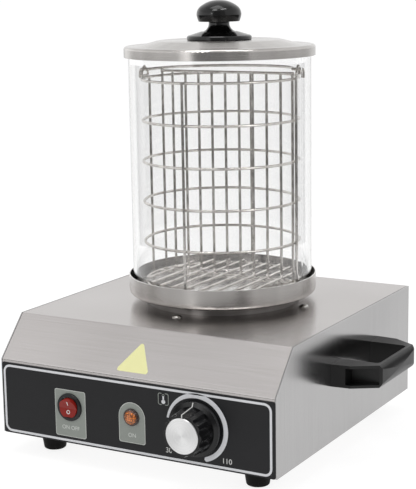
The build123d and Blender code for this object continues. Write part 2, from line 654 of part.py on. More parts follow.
def heater_collar():
    """Ring between housing and pan; its flange is screwed under the housing's top."""
    low = TOP_Z - 2 * SHEET
    wall = ring_solid(COLLAR_RADIUS, COLLAR_RADIUS - SHEET, low, PAN_Z)
    flange = ring_solid(COLLAR_FLANGE_RADIUS, COLLAR_RADIUS - SHEET, low, low + SHEET)
    shank = Cylinder(PAN_SCREW[2] + SCREW_FIT, 4 * SHEET)
    holes = round_the_tower(shank, PAN_SCREW_CIRCLE, pan_screw_angles(), low)
    return TOWER * (wall + flange) - holes


def hot_plate():
    """Aluminium plate pressed against the underside of the pan."""
    return TOWER * ring_solid(HOT_PLATE_RADIUS, CLAMP_STUD_RADIUS + SCREW_FIT,
                              HOT_PLATE_Z, PAN_Z)


def clamp_level():
    """Underside of the heating element, where the clamp bar lies."""
    return HOT_PLATE_Z - 2 * ELEMENT_RADIUS


def heating_element():
    """Tubular element bent to a ring, its two tails turned down."""
    level = HOT_PLATE_Z - ELEMENT_RADIUS
    section = Plane.XZ * Pos(ELEMENT_CIRCLE, level) * Circle(ELEMENT_RADIUS)
    sweep_angle = 360 - ELEMENT_GAP_ANGLE
    ring = revolve(section, Axis.Z, revolution_arc=sweep_angle)
    turn = math.radians(sweep_angle)
    ends = [(ELEMENT_CIRCLE, 0), (ELEMENT_CIRCLE * math.cos(turn),
                                  ELEMENT_CIRCLE * math.sin(turn))]
    for x, y in ends:
        ring += Pos(x, y, 0) * upright_cylinder(ELEMENT_RADIUS, level - ELEMENT_TAIL, level)
        ring += Pos(x, y, level) * Sphere(ELEMENT_RADIUS)
    return TOWER * Rot(0, 0, 90 + ELEMENT_GAP_ANGLE / 2) * ring


def clamp_bar():
    """Cranked bar that pulls the pan, plate and element together."""
    seat = TOP_Z - 2 * SHEET
    low = clamp_level()
    flat = ELEMENT_CIRCLE + 3 * ELEMENT_RADIUS
    top = [(-CLAMP_REACH, seat), (-COLLAR_RADIUS, seat), (-flat, low), (flat, low),
           (COLLAR_RADIUS, seat), (CLAMP_REACH, seat)]
    bottom = [(x, z - CLAMP_THICKNESS) for x, z in reversed(top)]
    side = Plane.XZ * make_face(Polyline(*top, *bottom, close=True))
    bar = extrude(side, CLAMP_WIDTH / 2, both=True)
    bar -= upright_cylinder(CLAMP_STUD_RADIUS + SCREW_FIT, low - 10, low + 10)
    return TOWER * Rot(0, 0, 45) * bar


def clamp_nut():
    """Nut on the pan's stud."""
    nut = hexagon_nut(10.0, 5.0, CLAMP_STUD_RADIUS)
    return TOWER * Pos(0, 0, clamp_level() - CLAMP_THICKNESS - 5.0) * nut


def thermostat_bulb():
    """Sensing bulb held under the hot plate."""
    level = HOT_PLATE_Z - BULB_RADIUS
    half = BULB_LENGTH / 2
    y = TOWER_Y - BULB_OFFSET
    bulb = rod(BULB_RADIUS, (-half, y, level), (half, y, level))
    return fillet(bulb.edges(), BULB_RADIUS * 0.6)


# ---- glass and lid -----------------------------------------------------------------
def glass_cylinder():
    """Clear cylinder with polished ends."""
    tube = ring_solid(GLASS_RADIUS, GLASS_RADIUS - GLASS_WALL, GLASS_Z, GLASS_TOP_Z)
    return TOWER * fillet(tube.edges().filter_by(GeomType.CIRCLE), GLASS_EDGE)


def lid_outline(inset):
    """Half section of the lid's outer or inner face."""
    flat = LID_FLAT_Z - inset
    step = LID_TOP_Z - inset
    edge = LID_RADIUS - inset
    shape = make_face(Polyline((0, LID_Z - inset), (edge, LID_Z - inset), (edge, flat),
                               (LID_STEP_OUTER, flat), (LID_STEP_INNER, step), (0, step),
                               close=True))
    rim = [v for v in shape.vertices() if v.X > LID_STEP_OUTER + 1 and v.Y > LID_Z + 1]
    shape = fillet(rim, LID_EDGE - inset)
    bends = [v for v in shape.vertices()
             if abs(v.X - LID_STEP_OUTER) < 0.01 or abs(v.X - LID_STEP_INNER) < 0.01]
    return fillet(bends, LID_STEP_BEND)


def lid_pan():
    """Spun lid with a raised middle."""
    outer = revolve(Plane.XZ * lid_outline(0.0), Axis.Z)
    inner = revolve(Plane.XZ * lid_outline(SHEET), Axis.Z)
    hole = upright_cylinder(LID_SCREW[2] + SCREW_FIT, LID_Z, LID_TOP_Z + 1)
    return TOWER * (outer - inner - hole)


def lid_knob():
    """Turned knob: flange, waisted neck and a mushroom head."""
    low = LID_TOP_Z
    edge = low + KNOB_FLANGE_EDGE
    shoulder = low + KNOB_SHOULDER_HEIGHT
    head = low + KNOB_HEAD_Z
    belly = head + KNOB_HEAD_BELLY
    crown = head + KNOB_HEAD_HEIGHT
    neck_low = (KNOB_NECK_BASE_RADIUS, shoulder)
    neck_middle = (KNOB_NECK_RADIUS + 0.5, shoulder + 0.48 * (head - shoulder))
    body = turned(
        Line((0, low), (KNOB_FLANGE_RADIUS - 0.6, low)),
        Line((KNOB_FLANGE_RADIUS - 0.6, low), (KNOB_FLANGE_RADIUS, low + 0.6)),
        Line((KNOB_FLANGE_RADIUS, low + 0.6), (KNOB_FLANGE_RADIUS, edge - 1.0)),
        Line((KNOB_FLANGE_RADIUS, edge - 1.0), (KNOB_FLANGE_RADIUS - 1.2, edge)),
        Line((KNOB_FLANGE_RADIUS - 1.2, edge), (KNOB_SHOULDER_RADIUS, shoulder)),
        Line((KNOB_SHOULDER_RADIUS, shoulder), neck_low),
        ThreePointArc(neck_low, neck_middle, (KNOB_NECK_RADIUS, head)),
        Line((KNOB_NECK_RADIUS, head), (KNOB_HEAD_LOWER_RADIUS, head)),
        ThreePointArc((KNOB_HEAD_LOWER_RADIUS, head), (
            KNOB_HEAD_RADIUS - 0.9, head + 0.4 * KNOB_HEAD_BELLY),
            (KNOB_HEAD_RADIUS, belly)),
        Spline((KNOB_HEAD_RADIUS, belly), (
            KNOB_HEAD_RADIUS * 0.714, belly + 0.7 * (crown - belly)), (0, crown),
            tangents=((0, 1), (-1, 0))),
        Line((0, crown), (0, low)))
    bore = upright_cylinder(LID_SCREW[2], low, low + KNOB_BORE_DEPTH)
    return TOWER * (body - bore)


def lid_screw():
    """Screw that holds the knob, its head under the lid."""
    return TOWER * Pos(0, 0, LID_TOP_Z - SHEET) * Rot(180, 0, 0) * screw(LID_SCREW[:3] + (
        KNOB_BORE_DEPTH,))


# ---- wire basket -------------------------------------------------------------------
def ring_levels():
    """Heights of the basket's rings."""
    return [LOW_RING_Z + RING_PITCH * i for i in range(RING_COUNT)]


def basket_rings():
    """Six hoops of wire, one above another."""
    return [Pos(0, TOWER_Y, z) * Torus(RING_RADIUS, WIRE_RADIUS) for z in ring_levels()]


def basket_uprights():
    """Straight wires welded outside the hoops; they stand on the pan's floor."""
    circle = RING_RADIUS + 2 * WIRE_RADIUS
    wire = upright_cylinder(WIRE_RADIUS, PAN_FLOOR_Z + REST_GAP, TOP_RING_Z + UPRIGHT_TOP)
    return round_the_tower(wire, circle, UPRIGHT_ANGLES, 0)


def divider_offsets():
    """Places of the divider's bent wires, left to right."""
    first = -DIVIDER_PITCH * (DIVIDER_WIRES - 1) / 2
    return [first + DIVIDER_PITCH * i for i in range(DIVIDER_WIRES)]


def chord_half(radius, distance):
    """Half the length of a chord at a distance from the centre."""
    return math.sqrt(radius ** 2 - distance ** 2)


def divider():
    """Flat grid that parts the basket; its wires bend forward at the floor."""
    bend_z = FLOOR_WIRE_Z + DIVIDER_BEND
    rail_z = TOP_RING_Z + DIVIDER_TOP
    top_z = rail_z + WIRE_RADIUS
    half = chord_half(RING_RADIUS - WIRE_RADIUS, DIVIDER_BACK)
    grid = rod(WIRE_RADIUS, (-half, DIVIDER_Y, rail_z), (half, DIVIDER_Y, rail_z))
    bend_axis = Axis((0, DIVIDER_Y - DIVIDER_BEND, bend_z), (-1, 0, 0))
    for x in divider_offsets():
        grid += rod(WIRE_RADIUS, (x, DIVIDER_Y, bend_z), (x, DIVIDER_Y, top_z))
        section = Plane(origin=(x, DIVIDER_Y, bend_z)) * Circle(WIRE_RADIUS)
        grid += revolve(section, bend_axis, revolution_arc=90)
    return grid


def divider_posts():
    """End wires of the divider, welded inside the hoops."""
    x = chord_half(RING_RADIUS - 2 * WIRE_RADIUS, DIVIDER_BACK)
    low = LOW_RING_Z - WIRE_RADIUS
    high = TOP_RING_Z + DIVIDER_TOP - WIRE_RADIUS
    return [rod(WIRE_RADIUS, (side * x, DIVIDER_Y, low), (side * x, DIVIDER_Y, high))
            for side in (-1, 1)]


def basket_floor():
    """Floor wires on the lowest hoop, with two cross wires under them."""
    wires = []
    for x in divider_offsets():
        reach = chord_half(RING_RADIUS, x)
        front = DIVIDER_Y - DIVIDER_BEND
        back = DIVIDER_Y + WIRE_RADIUS
        wires.append(rod(WIRE_RADIUS, (x, TOWER_Y - reach, FLOOR_WIRE_Z),
                         (x, front, FLOOR_WIRE_Z)))
        wires.append(rod(WIRE_RADIUS, (x, back, FLOOR_WIRE_Z),
                         (x, TOWER_Y + reach, FLOOR_WIRE_Z)))
    for distance in (DIVIDER_BACK - DIVIDER_BEND - 3.0, DIVIDER_BACK + 4.0):
        half = chord_half(RING_RADIUS - WIRE_RADIUS, distance)
        y = TOWER_Y + distance
        wires.append(rod(WIRE_RADIUS, (-half, y, LOW_RING_Z), (half, y, LOW_RING_Z)))
    return wires


def along_pivot():
    """Unit vector of the bail's pivot line, from the left ear to the right one."""
    turn = math.radians(EAR_TURN)
    return Vector(math.cos(turn), math.sin(turn), 0)


def bail_ears():
    """Triangular wire loops that stand on the top hoop."""
    half = EAR_WIDTH / 2
    loop = FilletPolyline((-half, 0), (half, 0), (0, EAR_HEIGHT), close=True,
                          radius=[EAR_CORNER, EAR_CORNER, EAR_CROWN])
    lean = math.radians(EAR_LEAN)
    up = Vector(0, 0, 1)
    ears = []
    for side in (-1, 1):
        middle = along_pivot() * (side * RING_RADIUS) + Vector(0, TOWER_Y, EAR_Z)
        facing = along_pivot() * math.cos(lean) - up * (side * math.sin(lean))
        plane = Plane(origin=middle, x_dir=up.cross(along_pivot()), z_dir=facing)
        path = plane * loop
        section = Plane(origin=path @ 0, z_dir=path % 0) * Circle(EAR_WIRE_RADIUS)
        ears.append(sweep(section, path=path))
    return ears


def bail_rest_tilt():
    """Angle at which the folded bail lies on the divider's cross wire."""
    drop = BAIL_IN_EAR + EAR_Z - (TOP_RING_Z + DIVIDER_TOP) - (
        WIRE_RADIUS + BAIL_WIRE_RADIUS + REST_GAP)
    turn = math.radians(EAR_TURN)
    crossing = DIVIDER_BACK * math.cos(turn) + RING_RADIUS * math.sin(turn)
    return -math.degrees(math.atan2(drop, crossing))


def basket_bail():
    """Wire handle: a half circle whose ends turn out through the ears."""
    arm = BAIL_REACH - BAIL_HALF_WIDTH
    points = [(BAIL_TAIL, 0, -BAIL_HOOK), (BAIL_TAIL, 0, 0), (BAIL_HALF_WIDTH, 0, 0),
              (BAIL_HALF_WIDTH, arm, 0)]
    right = FilletPolyline(*points, radius=BAIL_BEND)
    left = mirror(right, about=Plane.YZ)
    arch = CenterArc((0, arm, 0), BAIL_HALF_WIDTH, 0, 180)
    path = Wire(right.edges() + arch.edges() + left.edges())
    section = Plane(origin=path @ 0, z_dir=path % 0) * Circle(BAIL_WIRE_RADIUS)
    bail = sweep(section, path=path)
    return Pos(0, TOWER_Y, BAIL_Z) * Rot(0, 0, EAR_TURN) * Rot(
        bail_rest_tilt(), 0, 0) * bail


# ---- fasteners and electrics -------------------------------------------------------
def pan_screws():
    """Four dome-headed screws round the pan."""
    return round_the_tower(screw(PAN_SCREW), PAN_SCREW_CIRCLE, pan_screw_angles(), TOP_Z)


def pan_screw_nuts():
    """Their nuts, under the collar's flange."""
    nut = hexagon_nut(NUT_FLATS, NUT_HEIGHT, PAN_SCREW[2])
    return round_the_tower(nut, PAN_SCREW_CIRCLE, pan_screw_angles(),
                           TOP_Z - 2 * SHEET - NUT_HEIGHT)


def case_screws():
    """Screws that hold the back and the base."""
    return [Plane(origin=seat, z_dir=out) * screw(CASE_SCREW)
            for seat, out in case_screw_places()]


def foot_screws():
    """A screw up through each foot."""
    upside_down = Rot(180, 0, 0) * screw(FOOT_SCREW)
    return [Pos(x, y, FOOT_RECESS_DEPTH) * upside_down for x, y in foot_places()]


def foot_nuts():
    """Nuts of the foot screws, on the base plate."""
    nut = hexagon_nut(NUT_FLATS, NUT_HEIGHT, FOOT_SCREW[2])
    return [Pos(x, y, BASE_Z + SHEET) * nut for x, y in foot_places()]


def handle_screws():
    """Two screws for each handle, put in from inside the housing."""
    right = [Plane(origin=(SIDE_X - SHEET, y, z), z_dir=(-1, 0, 0)) * screw(HANDLE_SCREW)
             for y, z in handle_screw_places()]
    return right + [mirror(piece, about=Plane.YZ) for piece in right]


def out_of_back(x):
    """Plane on the back panel with its +Z pointing backwards."""
    return Plane(origin=(x, BACK_Y, BASE_Z + GLAND_HEIGHT), x_dir=(-1, 0, 0),
                 z_dir=(0, 1, 0))


def cable_gland():
    """Round gland through the back panel, with a straight bore for the supply cable."""
    head = Cone(GLAND_HEAD_RADIUS, GLAND_HEAD_RADIUS - 2.2, GLAND_HEAD_LENGTH, align=(
        Align.CENTER, Align.CENTER, Align.MIN))
    neck = upright_cylinder(GLAND_BODY_RADIUS, -SHEET - GLAND_TAIL, 0)
    bore = upright_cylinder(GLAND_BORE_RADIUS, -SHEET - GLAND_TAIL, GLAND_HEAD_LENGTH)
    return out_of_back(GLAND_X) * (head + neck - bore)


def gland_nut():
    """Nut that holds the gland from inside."""
    nut = hexagon_nut(2.6 * GLAND_BODY_RADIUS, 4.0, GLAND_BODY_RADIUS)
    return out_of_back(GLAND_X) * Pos(0, 0, -SHEET - 4.0) * nut


def earth_stud():
    """Brass screw for the earth lead."""
    return out_of_back(EARTH_STUD_X) * screw(CASE_SCREW[:3] + (14.0,))


def earth_nut():
    """Nut on the earth stud."""
    nut = hexagon_nut(6.5, 2.6, CASE_SCREW[2])
    return out_of_back(EARTH_STUD_X) * Pos(0, 0, -SHEET - 2.6) * nut


def terminal_block():
    """Three-way block on the base plate, with open wire ways."""
    length, depth, height = TERMINAL_BLOCK
    body = Pos(TERMINAL_X, BACK_Y - TERMINAL_FROM_BACK, BASE_Z + SHEET) * Box(
        length, depth, height, align=(Align.CENTER, Align.CENTER, Align.MIN))
    for x, y, z in terminal_places():
        body -= rod(2.2, (x, y - depth, z - 7.0), (x, y + depth, z - 7.0))
        body -= Pos(x, y, z) * upright_cylinder(2.0, -5.0, 0)
    return body


def terminal_places():
    """Tops of the block's three screw wells."""
    length, _, height = TERMINAL_BLOCK
    y = BACK_Y - TERMINAL_FROM_BACK
    return [(TERMINAL_X + i * length / 3, y, BASE_Z + SHEET + height) for i in (-1, 0, 1)]


def terminal_screws():
    """Brass screws in the wells."""
    return [Pos(*place) * upright_cylinder(2.0, -5.0, -1.0) for place in terminal_places()]


def capillary():
    """Thin copper tube from the bulb to the thermostat."""
    level = HOT_PLATE_Z - BULB_RADIUS
    y = TOWER_Y - BULB_OFFSET
    back = FRONT_Y + SHEET + THERMOSTAT_DEPTH
    low = CONTROL_Z + THERMOSTAT_HEIGHT / 4
    path = FilletPolyline(
        (BULB_LENGTH / 2, y, level), (BULB_LENGTH / 2 + 9, y, level),
        (BULB_LENGTH / 2 + 9, y, low), (CONTROL_X, y, low), (CONTROL_X, back, low),
        radius=6.0)
    section = Plane(origin=path @ 0, z_dir=path % 0) * Circle(1.0)
    return sweep(section, path=path)


# ---- every node --------------------------------------------------------------------
def build():
    """Write each node to its own file."""
    save("front_top_shell", front_top_shell())
    save("right_side_panel", side_panel())
    save("left_side_panel", mirror(side_panel(), about=Plane.YZ))
    save("back_panel", back_panel())
    save("base_plate", base_plate())
    save("feet", *[Pos(x, y, 0) * foot() for x, y in foot_places()])
    save("right_carry_handle", carry_handle())
    save("left_carry_handle", mirror(carry_handle(), about=Plane.YZ))
    save("control_panel", control_panel())
    save("switch_housing", switch_housing())
    save("switch_rocker", rocker())
    save("switch_terminals", *switch_terminals())
    save("lamp_lens", lamp_lens())
    save("lamp_body", lamp_body())
    save("lamp_nut", lamp_nut())
    save("dial_knob", dial_knob())
    save("dial_cap", dial_cap())
    save("thermostat_shaft", thermostat_shaft())
    save("thermostat_body", thermostat_body())
    save("bush_nut", bush_nut())
    save("thermostat_bulb", thermostat_bulb())
    save("thermostat_capillary", capillary())
    save("water_pan", water_pan())
    save("heater_collar", heater_collar())
    save("hot_plate", hot_plate())
    save("heating_element", heating_element())
    save("clamp_bar", clamp_bar())
    save("clamp_nut", clamp_nut())
    save("glass_cylinder", glass_cylinder())
    save("lid_pan", lid_pan())
    save("lid_knob", lid_knob())
    save("lid_screw", lid_screw())
    save("basket_rings", *basket_rings())
    save("basket_uprights", *basket_uprights())
    save("basket_divider", divider(), *divider_posts())
    save("basket_floor", *basket_floor())
    save("basket_ears", *bail_ears())
    save("basket_bail", basket_bail())
    save("pan_screws", *pan_screws())
    save("pan_screw_nuts", *pan_screw_nuts())
    save("case_screws", *case_screws())
    save("foot_screws", *foot_screws())
    save("foot_nuts", *foot_nuts())
    save("handle_screws", *handle_screws())
    save("cable_gland", cable_gland())
    save("gland_nut", gland_nut())
    save("earth_stud", earth_stud())
    save("earth_nut", earth_nut())
    save("terminal_block", terminal_block())
    save("terminal_screws", *terminal_screws())


os.makedirs("parts", exist_ok=True)
build()
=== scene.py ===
# %% [markdown]
# # A countertop hot dog steamer
# The shapes come from the CAD model, which is loaded as a fixed frame: a folded steel
# housing, a black control panel, a round water pan, a glass tower with a lid, and a wire
# basket that lifts out. This script adds what CAD leaves out: the finish of every
# surface, the print on the panel, the marks on the switch and dial, the floor, the light
# and the camera.

# %% Load the model
import math
import bmesh
import bpy
from mathutils import Matrix, Vector


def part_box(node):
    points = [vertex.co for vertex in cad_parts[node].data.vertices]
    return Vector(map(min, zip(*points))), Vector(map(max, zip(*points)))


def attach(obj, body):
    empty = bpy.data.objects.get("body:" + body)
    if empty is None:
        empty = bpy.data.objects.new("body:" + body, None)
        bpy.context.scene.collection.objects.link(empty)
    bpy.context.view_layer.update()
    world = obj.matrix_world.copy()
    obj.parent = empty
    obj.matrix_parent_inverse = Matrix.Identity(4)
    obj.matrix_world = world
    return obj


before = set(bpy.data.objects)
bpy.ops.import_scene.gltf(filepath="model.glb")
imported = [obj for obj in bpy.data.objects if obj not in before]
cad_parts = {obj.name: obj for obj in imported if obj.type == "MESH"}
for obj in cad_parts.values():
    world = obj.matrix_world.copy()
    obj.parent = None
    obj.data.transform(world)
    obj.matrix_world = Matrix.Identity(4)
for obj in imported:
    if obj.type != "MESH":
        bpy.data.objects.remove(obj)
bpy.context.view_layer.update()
print("nodes:", len(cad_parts))

# %% [markdown]
# ## Camera
# The camera stands to the front right of the appliance, a little above its lid, and
# looks down by some eleven degrees. A long lens keeps the upright edges nearly parallel.
# A camera's own axes are right, up and backwards, so its matrix can be written down from
# the direction in which it looks. A hand-held camera is rarely quite level, so a small
# roll is added to the right and up directions.

# %% Camera
CAMERA_PLACE = Vector((0.6324, -1.1098, 0.4267))
CAMERA_YAW = math.radians(29.65)
CAMERA_PITCH = math.radians(10.87)
CAMERA_ROLL = math.radians(-0.91)
LENS_MM = 102.75


def camera_matrix():
    """Place and direction of the camera as one matrix."""
    right = Vector((math.cos(CAMERA_YAW), math.sin(CAMERA_YAW), 0))
    ahead = Vector((-math.sin(CAMERA_YAW) * math.cos(CAMERA_PITCH),
                    math.cos(CAMERA_YAW) * math.cos(CAMERA_PITCH),
                    -math.sin(CAMERA_PITCH)))
    up = right.cross(ahead)
    cosine, sine = math.cos(CAMERA_ROLL), math.sin(CAMERA_ROLL)
    rolled_right = right * cosine + up * sine
    rolled_up = up * cosine - right * sine
    axes = Matrix((rolled_right, rolled_up, -ahead)).transposed()
    return Matrix.Translation(CAMERA_PLACE) @ axes.to_4x4()


lens = bpy.data.cameras.new("camera")
lens.lens = LENS_MM
lens.sensor_width = 36.0
camera = bpy.data.objects.new("camera", lens)
camera.matrix_world = camera_matrix()
bpy.context.collection.objects.link(camera)
bpy.context.scene.camera = camera
print("camera at", [round(v, 3) for v in CAMERA_PLACE])

# %% [markdown]
# ## Two helpers for materials
# Colours are easiest to name as the hex values of a screen, but the shader works with
# linear light, so one function turns the first into the second. The other helper adds a
# node, sets it up and joins its inputs: a value that is a socket is linked, and any
# other value is typed into the socket.

# %% Colours and nodes
MM = 0.001


def paint(hex_text):
    """Linear red, green, blue and alpha of an sRGB colour such as #a0b1c2."""
    parts = [int(hex_text[i:i + 2], 16) / 255 for i in (1, 3, 5)]
    linear = [v / 12.92 if v <= 0.04045 else ((v + 0.055) / 1.055) ** 2.4 for v in parts]
    return (*linear, 1.0)


def add(material, kind, inputs, **settings):
    """Adds one node to a material, with its settings, typed values and links."""
    made = material.node_tree.nodes.new(kind)
    for name, value in settings.items():
        setattr(made, name, value)
    for name, value in inputs.items():
        if isinstance(value, bpy.types.NodeSocket):
            material.node_tree.links.new(value, made.inputs[name])
        else:
            made.inputs[name].default_value = value
    return made


def start(name, values):
    """A new material whose main shader has these typed values."""
    material = bpy.data.materials.new(name)
    material.use_nodes = True
    shader = material.node_tree.nodes["Principled BSDF"]
    for socket, value in values.items():
        shader.inputs[socket].default_value = value
    return material, shader


def join(material, shader, links):
    """Links sockets into the main shader by name."""
    for name, socket in links.items():
        material.node_tree.links.new(socket, shader.inputs[name])


def dress(material, *nodes):
    """Gives CAD nodes a finish."""
    for name in nodes:
        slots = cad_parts[name].data.materials
        slots.clear()
        slots.append(material)
    print(material.name, "->", ", ".join(nodes))


print("mid grey #808080 is", round(paint("#808080")[0], 3), "in linear light")

# %% [markdown]
# ## Brushed stainless sheet
# The housing is folded from stainless steel sheet that was run under an abrasive belt
# before it was cut. The belt leaves fine scratches all one way, left to right, about a
# tenth of a millimetre apart. That is too fine to show here, so the grain is drawn
# 0.9 mm apart. A stretched noise does it: its coordinates are scaled little along the
# grain and much across it. The same grain moves the colour, the roughness and a faint
# bump, and a second, slow noise gives the cloudy tone that large sheets have.

# %% Brushed sheet finish
GRAIN_MM = 0.9
GRAIN_LENGTH_MM = 90.0
CLOUD_MM = 120.0
GRAIN_SHARE = 0.45       # of the tone
CLOUD_SHARE = 0.55
SCRATCH_MM = 0.05        # depth of the bump


def brushed_sheet(name, light, dark, along, smooth, coarse):
    """Stainless sheet; along is the axis in which its grain runs, 0, 1 or 2."""
    steel, shader = start(name, {
        "Metallic": 1.0, "Anisotropic": 0.7, "Anisotropic Rotation": 0.25})
    place = add(steel, "ShaderNodeTexCoord", {})
    scale = [1 / (GRAIN_MM * MM)] * 3
    scale[along] = 1 / (GRAIN_LENGTH_MM * MM)
    stretched = add(steel, "ShaderNodeVectorMath", {0: place.outputs["Object"], 1: scale},
                    operation="MULTIPLY")
    grain = add(steel, "ShaderNodeTexNoise", {
        "Vector": stretched.outputs[0], "Scale": 1.0, "Detail": 3.0})
    cloud = add(steel, "ShaderNodeTexNoise", {
        "Vector": place.outputs["Object"], "Scale": 1 / (CLOUD_MM * MM), "Detail": 1.0})
    blend = add(steel, "ShaderNodeMath", {0: cloud.outputs["Fac"], 1: CLOUD_SHARE},
                operation="MULTIPLY")
    tone = add(steel, "ShaderNodeMath", {
        0: grain.outputs["Fac"], 1: GRAIN_SHARE, 2: blend.outputs[0]},
        operation="MULTIPLY_ADD")
    colour = add(steel, "ShaderNodeMapRange", {
        "Value": tone.outputs[0], "From Min": 0.3, "From Max": 0.7})
    mixed = add(steel, "ShaderNodeMix", {
        "Factor": colour.outputs[0], 6: paint(dark), 7: paint(light)}, data_type="RGBA")
    rough = add(steel, "ShaderNodeMapRange", {
        "Value": grain.outputs["Fac"], "To Min": smooth, "To Max": coarse})
    bump = add(steel, "ShaderNodeBump", {
        "Height": grain.outputs["Fac"], "Strength": 0.02,
        "Distance": SCRATCH_MM * MM})
    grain_way = add(steel, "ShaderNodeCombineXYZ", {"XYZ"[along]: 1.0})
    join(steel, shader, {"Base Color": mixed.outputs[2], "Roughness": rough.outputs[0],
                         "Normal": bump.outputs[0], "Tangent": grain_way.outputs[0]})
    return steel


sheet_steel = brushed_sheet("stainless_sheet_brushed", "#c9c5c4", "#bdb9b7", 0, 0.22, 0.28)
dress(sheet_steel, "front_top_shell", "back_panel", "base_plate")
side_steel = brushed_sheet("stainless_side_brushed", "#bfbebe", "#b2b1b1", 2, 0.15, 0.21)
dress(side_steel, "right_side_panel", "left_side_panel")

# %% [markdown]
# ## Spun stainless steel
# The pan, its collar and the lid are spun on a lathe and polished as they turn, so their
# scratches are circles round the tower's axis. The noise is fed with the distance from
# that axis and with the height, both finely scaled, and with the direction round the
# axis, coarsely scaled. The direction goes in as a point on a circle, so the pattern has
# no seam. The slow part of it paints light and dark fans into the colour: painted
# reflections, for the streaks of light that a turned dish mirrors. The pan's floor is
# polished further than its wall, so faces that look up get less roughness, and they are
# painted a paler colour as well: painted light on the floor. The pan's rim is rounded for
# the light only, by a Bevel node. The collar is painted darker than the pan, as painted
# shade under it, and the lid a little darker, as painted shade too.

# %% Spun steel finish
low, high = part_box("water_pan")
TOWER_X = (low[0] + high[0]) / 2
TOWER_Y = (low[1] + high[1]) / 2
TOWER_AXIS = (TOWER_X, TOWER_Y, 0)
TURNED_GRAIN_MM = 0.8
FANS = 2.2               # how quickly the tone changes round the axis
RING_SHARE = 0.4         # of the tone
PAINTED_FAN_SHARE = 0.6
WALL_UP, FLOOR_UP = 0.6, 0.9   # upward part of a face's direction
FLOOR_ROUGHNESS = 0.6    # as a share of the wall's


def spun_metal(name, light, dark, rough_low, rough_high, floor=None, edge_mm=0.0):
    """Metal turned about an upright axis, with painted fans, painted floor light and a
    rounded edge.
    """
    metal, shader = start(name, {
        "Metallic": 1.0, "Anisotropic": 0.75, "Anisotropic Rotation": 0.25})
    place = add(metal, "ShaderNodeTexCoord", {})
    from_axis = add(metal, "ShaderNodeVectorMath", {
        0: place.outputs["Object"], 1: TOWER_AXIS}, operation="SUBTRACT")
    flat = add(metal, "ShaderNodeVectorMath", {0: from_axis.outputs[0], 1: (1, 1, 0)},
               operation="MULTIPLY")
    radius = add(metal, "ShaderNodeVectorMath", {0: flat.outputs[0]}, operation="LENGTH")
    toward = add(metal, "ShaderNodeVectorMath", {0: flat.outputs[0]},
                 operation="NORMALIZE")
    height = add(metal, "ShaderNodeVectorMath", {
        0: from_axis.outputs[0], 1: (0, 0, 1 / (TURNED_GRAIN_MM * MM))},
        operation="MULTIPLY")
    ring_place = add(metal, "ShaderNodeVectorMath", {
        0: toward.outputs[0], 1: (FANS, FANS, 1), 2: height.outputs[0]},
        operation="MULTIPLY_ADD")
    ring_number = add(metal, "ShaderNodeMath", {
        0: radius.outputs["Value"], 1: 1 / (TURNED_GRAIN_MM * MM)}, operation="MULTIPLY")
    rings = add(metal, "ShaderNodeTexNoise", {
        "Vector": ring_place.outputs[0], "W": ring_number.outputs[0], "Scale": 1.0,
        "Detail": 2.0}, noise_dimensions="4D")
    # Painted reflections: slow light and dark fans round the axis, painted into the colour
    # on top of the real grain of the rings.
    painted_fans = add(metal, "ShaderNodeTexNoise", {
        "Vector": toward.outputs[0], "Scale": 2 * FANS, "Detail": 1.0})
    painted_fan_part = add(metal, "ShaderNodeMath", {0: painted_fans.outputs["Fac"], 1: PAINTED_FAN_SHARE},
                   operation="MULTIPLY")
    tone = add(metal, "ShaderNodeMath", {
        0: rings.outputs["Fac"], 1: RING_SHARE, 2: painted_fan_part.outputs[0]},
        operation="MULTIPLY_ADD")
    shade = add(metal, "ShaderNodeMapRange", {
        "Value": tone.outputs[0], "From Min": 0.35, "From Max": 0.65})
    mixed = add(metal, "ShaderNodeMix", {
        "Factor": shade.outputs[0], 6: paint(dark), 7: paint(light)}, data_type="RGBA")
    rough = add(metal, "ShaderNodeMapRange", {
        "Value": rings.outputs["Fac"], "To Min": rough_low, "To Max": rough_high})
    bump = add(metal, "ShaderNodeBump", {
        "Height": rings.outputs["Fac"], "Strength": 0.03,
        "Distance": SCRATCH_MM * MM})
    if edge_mm:
        edge = add(metal, "ShaderNodeBevel", {"Radius": edge_mm * MM}, samples=4)
        join(metal, bump, {"Normal": edge.outputs[0]})
    # Faces that look up get less roughness, for their finer polish, and a paler colour:
    # painted light on the pan's floor.
    if floor:
        faces = add(metal, "ShaderNodeNewGeometry", {})
        upright = add(metal, "ShaderNodeSeparateXYZ", {0: faces.outputs["True Normal"]})
        flatness = add(metal, "ShaderNodeMapRange", {
            "Value": upright.outputs["Z"], "From Min": WALL_UP, "From Max": FLOOR_UP})
        mixed = add(metal, "ShaderNodeMix", {
            "Factor": flatness.outputs[0], 6: mixed.outputs[2], 7: paint(floor)},
            data_type="RGBA")
        smoother = add(metal, "ShaderNodeMapRange", {
            "Value": flatness.outputs[0], "To Min": 1.0, "To Max": FLOOR_ROUGHNESS})
        rough = add(metal, "ShaderNodeMath", {
            0: rough.outputs[0], 1: smoother.outputs[0]}, operation="MULTIPLY")
    round_axis = add(metal, "ShaderNodeTangent", {}, direction_type="RADIAL", axis="Z")
    join(metal, shader, {"Base Color": mixed.outputs[2], "Roughness": rough.outputs[0],
                         "Normal": bump.outputs[0], "Tangent": round_axis.outputs[0]})
    return metal


# The floor colour given here is painted light, paler than the wall.
pan_steel = spun_metal("stainless_spun", "#cac7c4", "#b6b3b0", 0.2, 0.28,
                       floor="#e6e4e2", edge_mm=0.5)
dress(pan_steel, "water_pan")
# The collar's darker colour is painted shade, for the shade under the pan; its higher
# roughness makes it duller.
collar_steel_painted_shade = spun_metal("stainless_spun_collar_painted_shade", "#8f8c8a", "#7e7b79", 0.32, 0.42)
dress(collar_steel_painted_shade, "heater_collar")
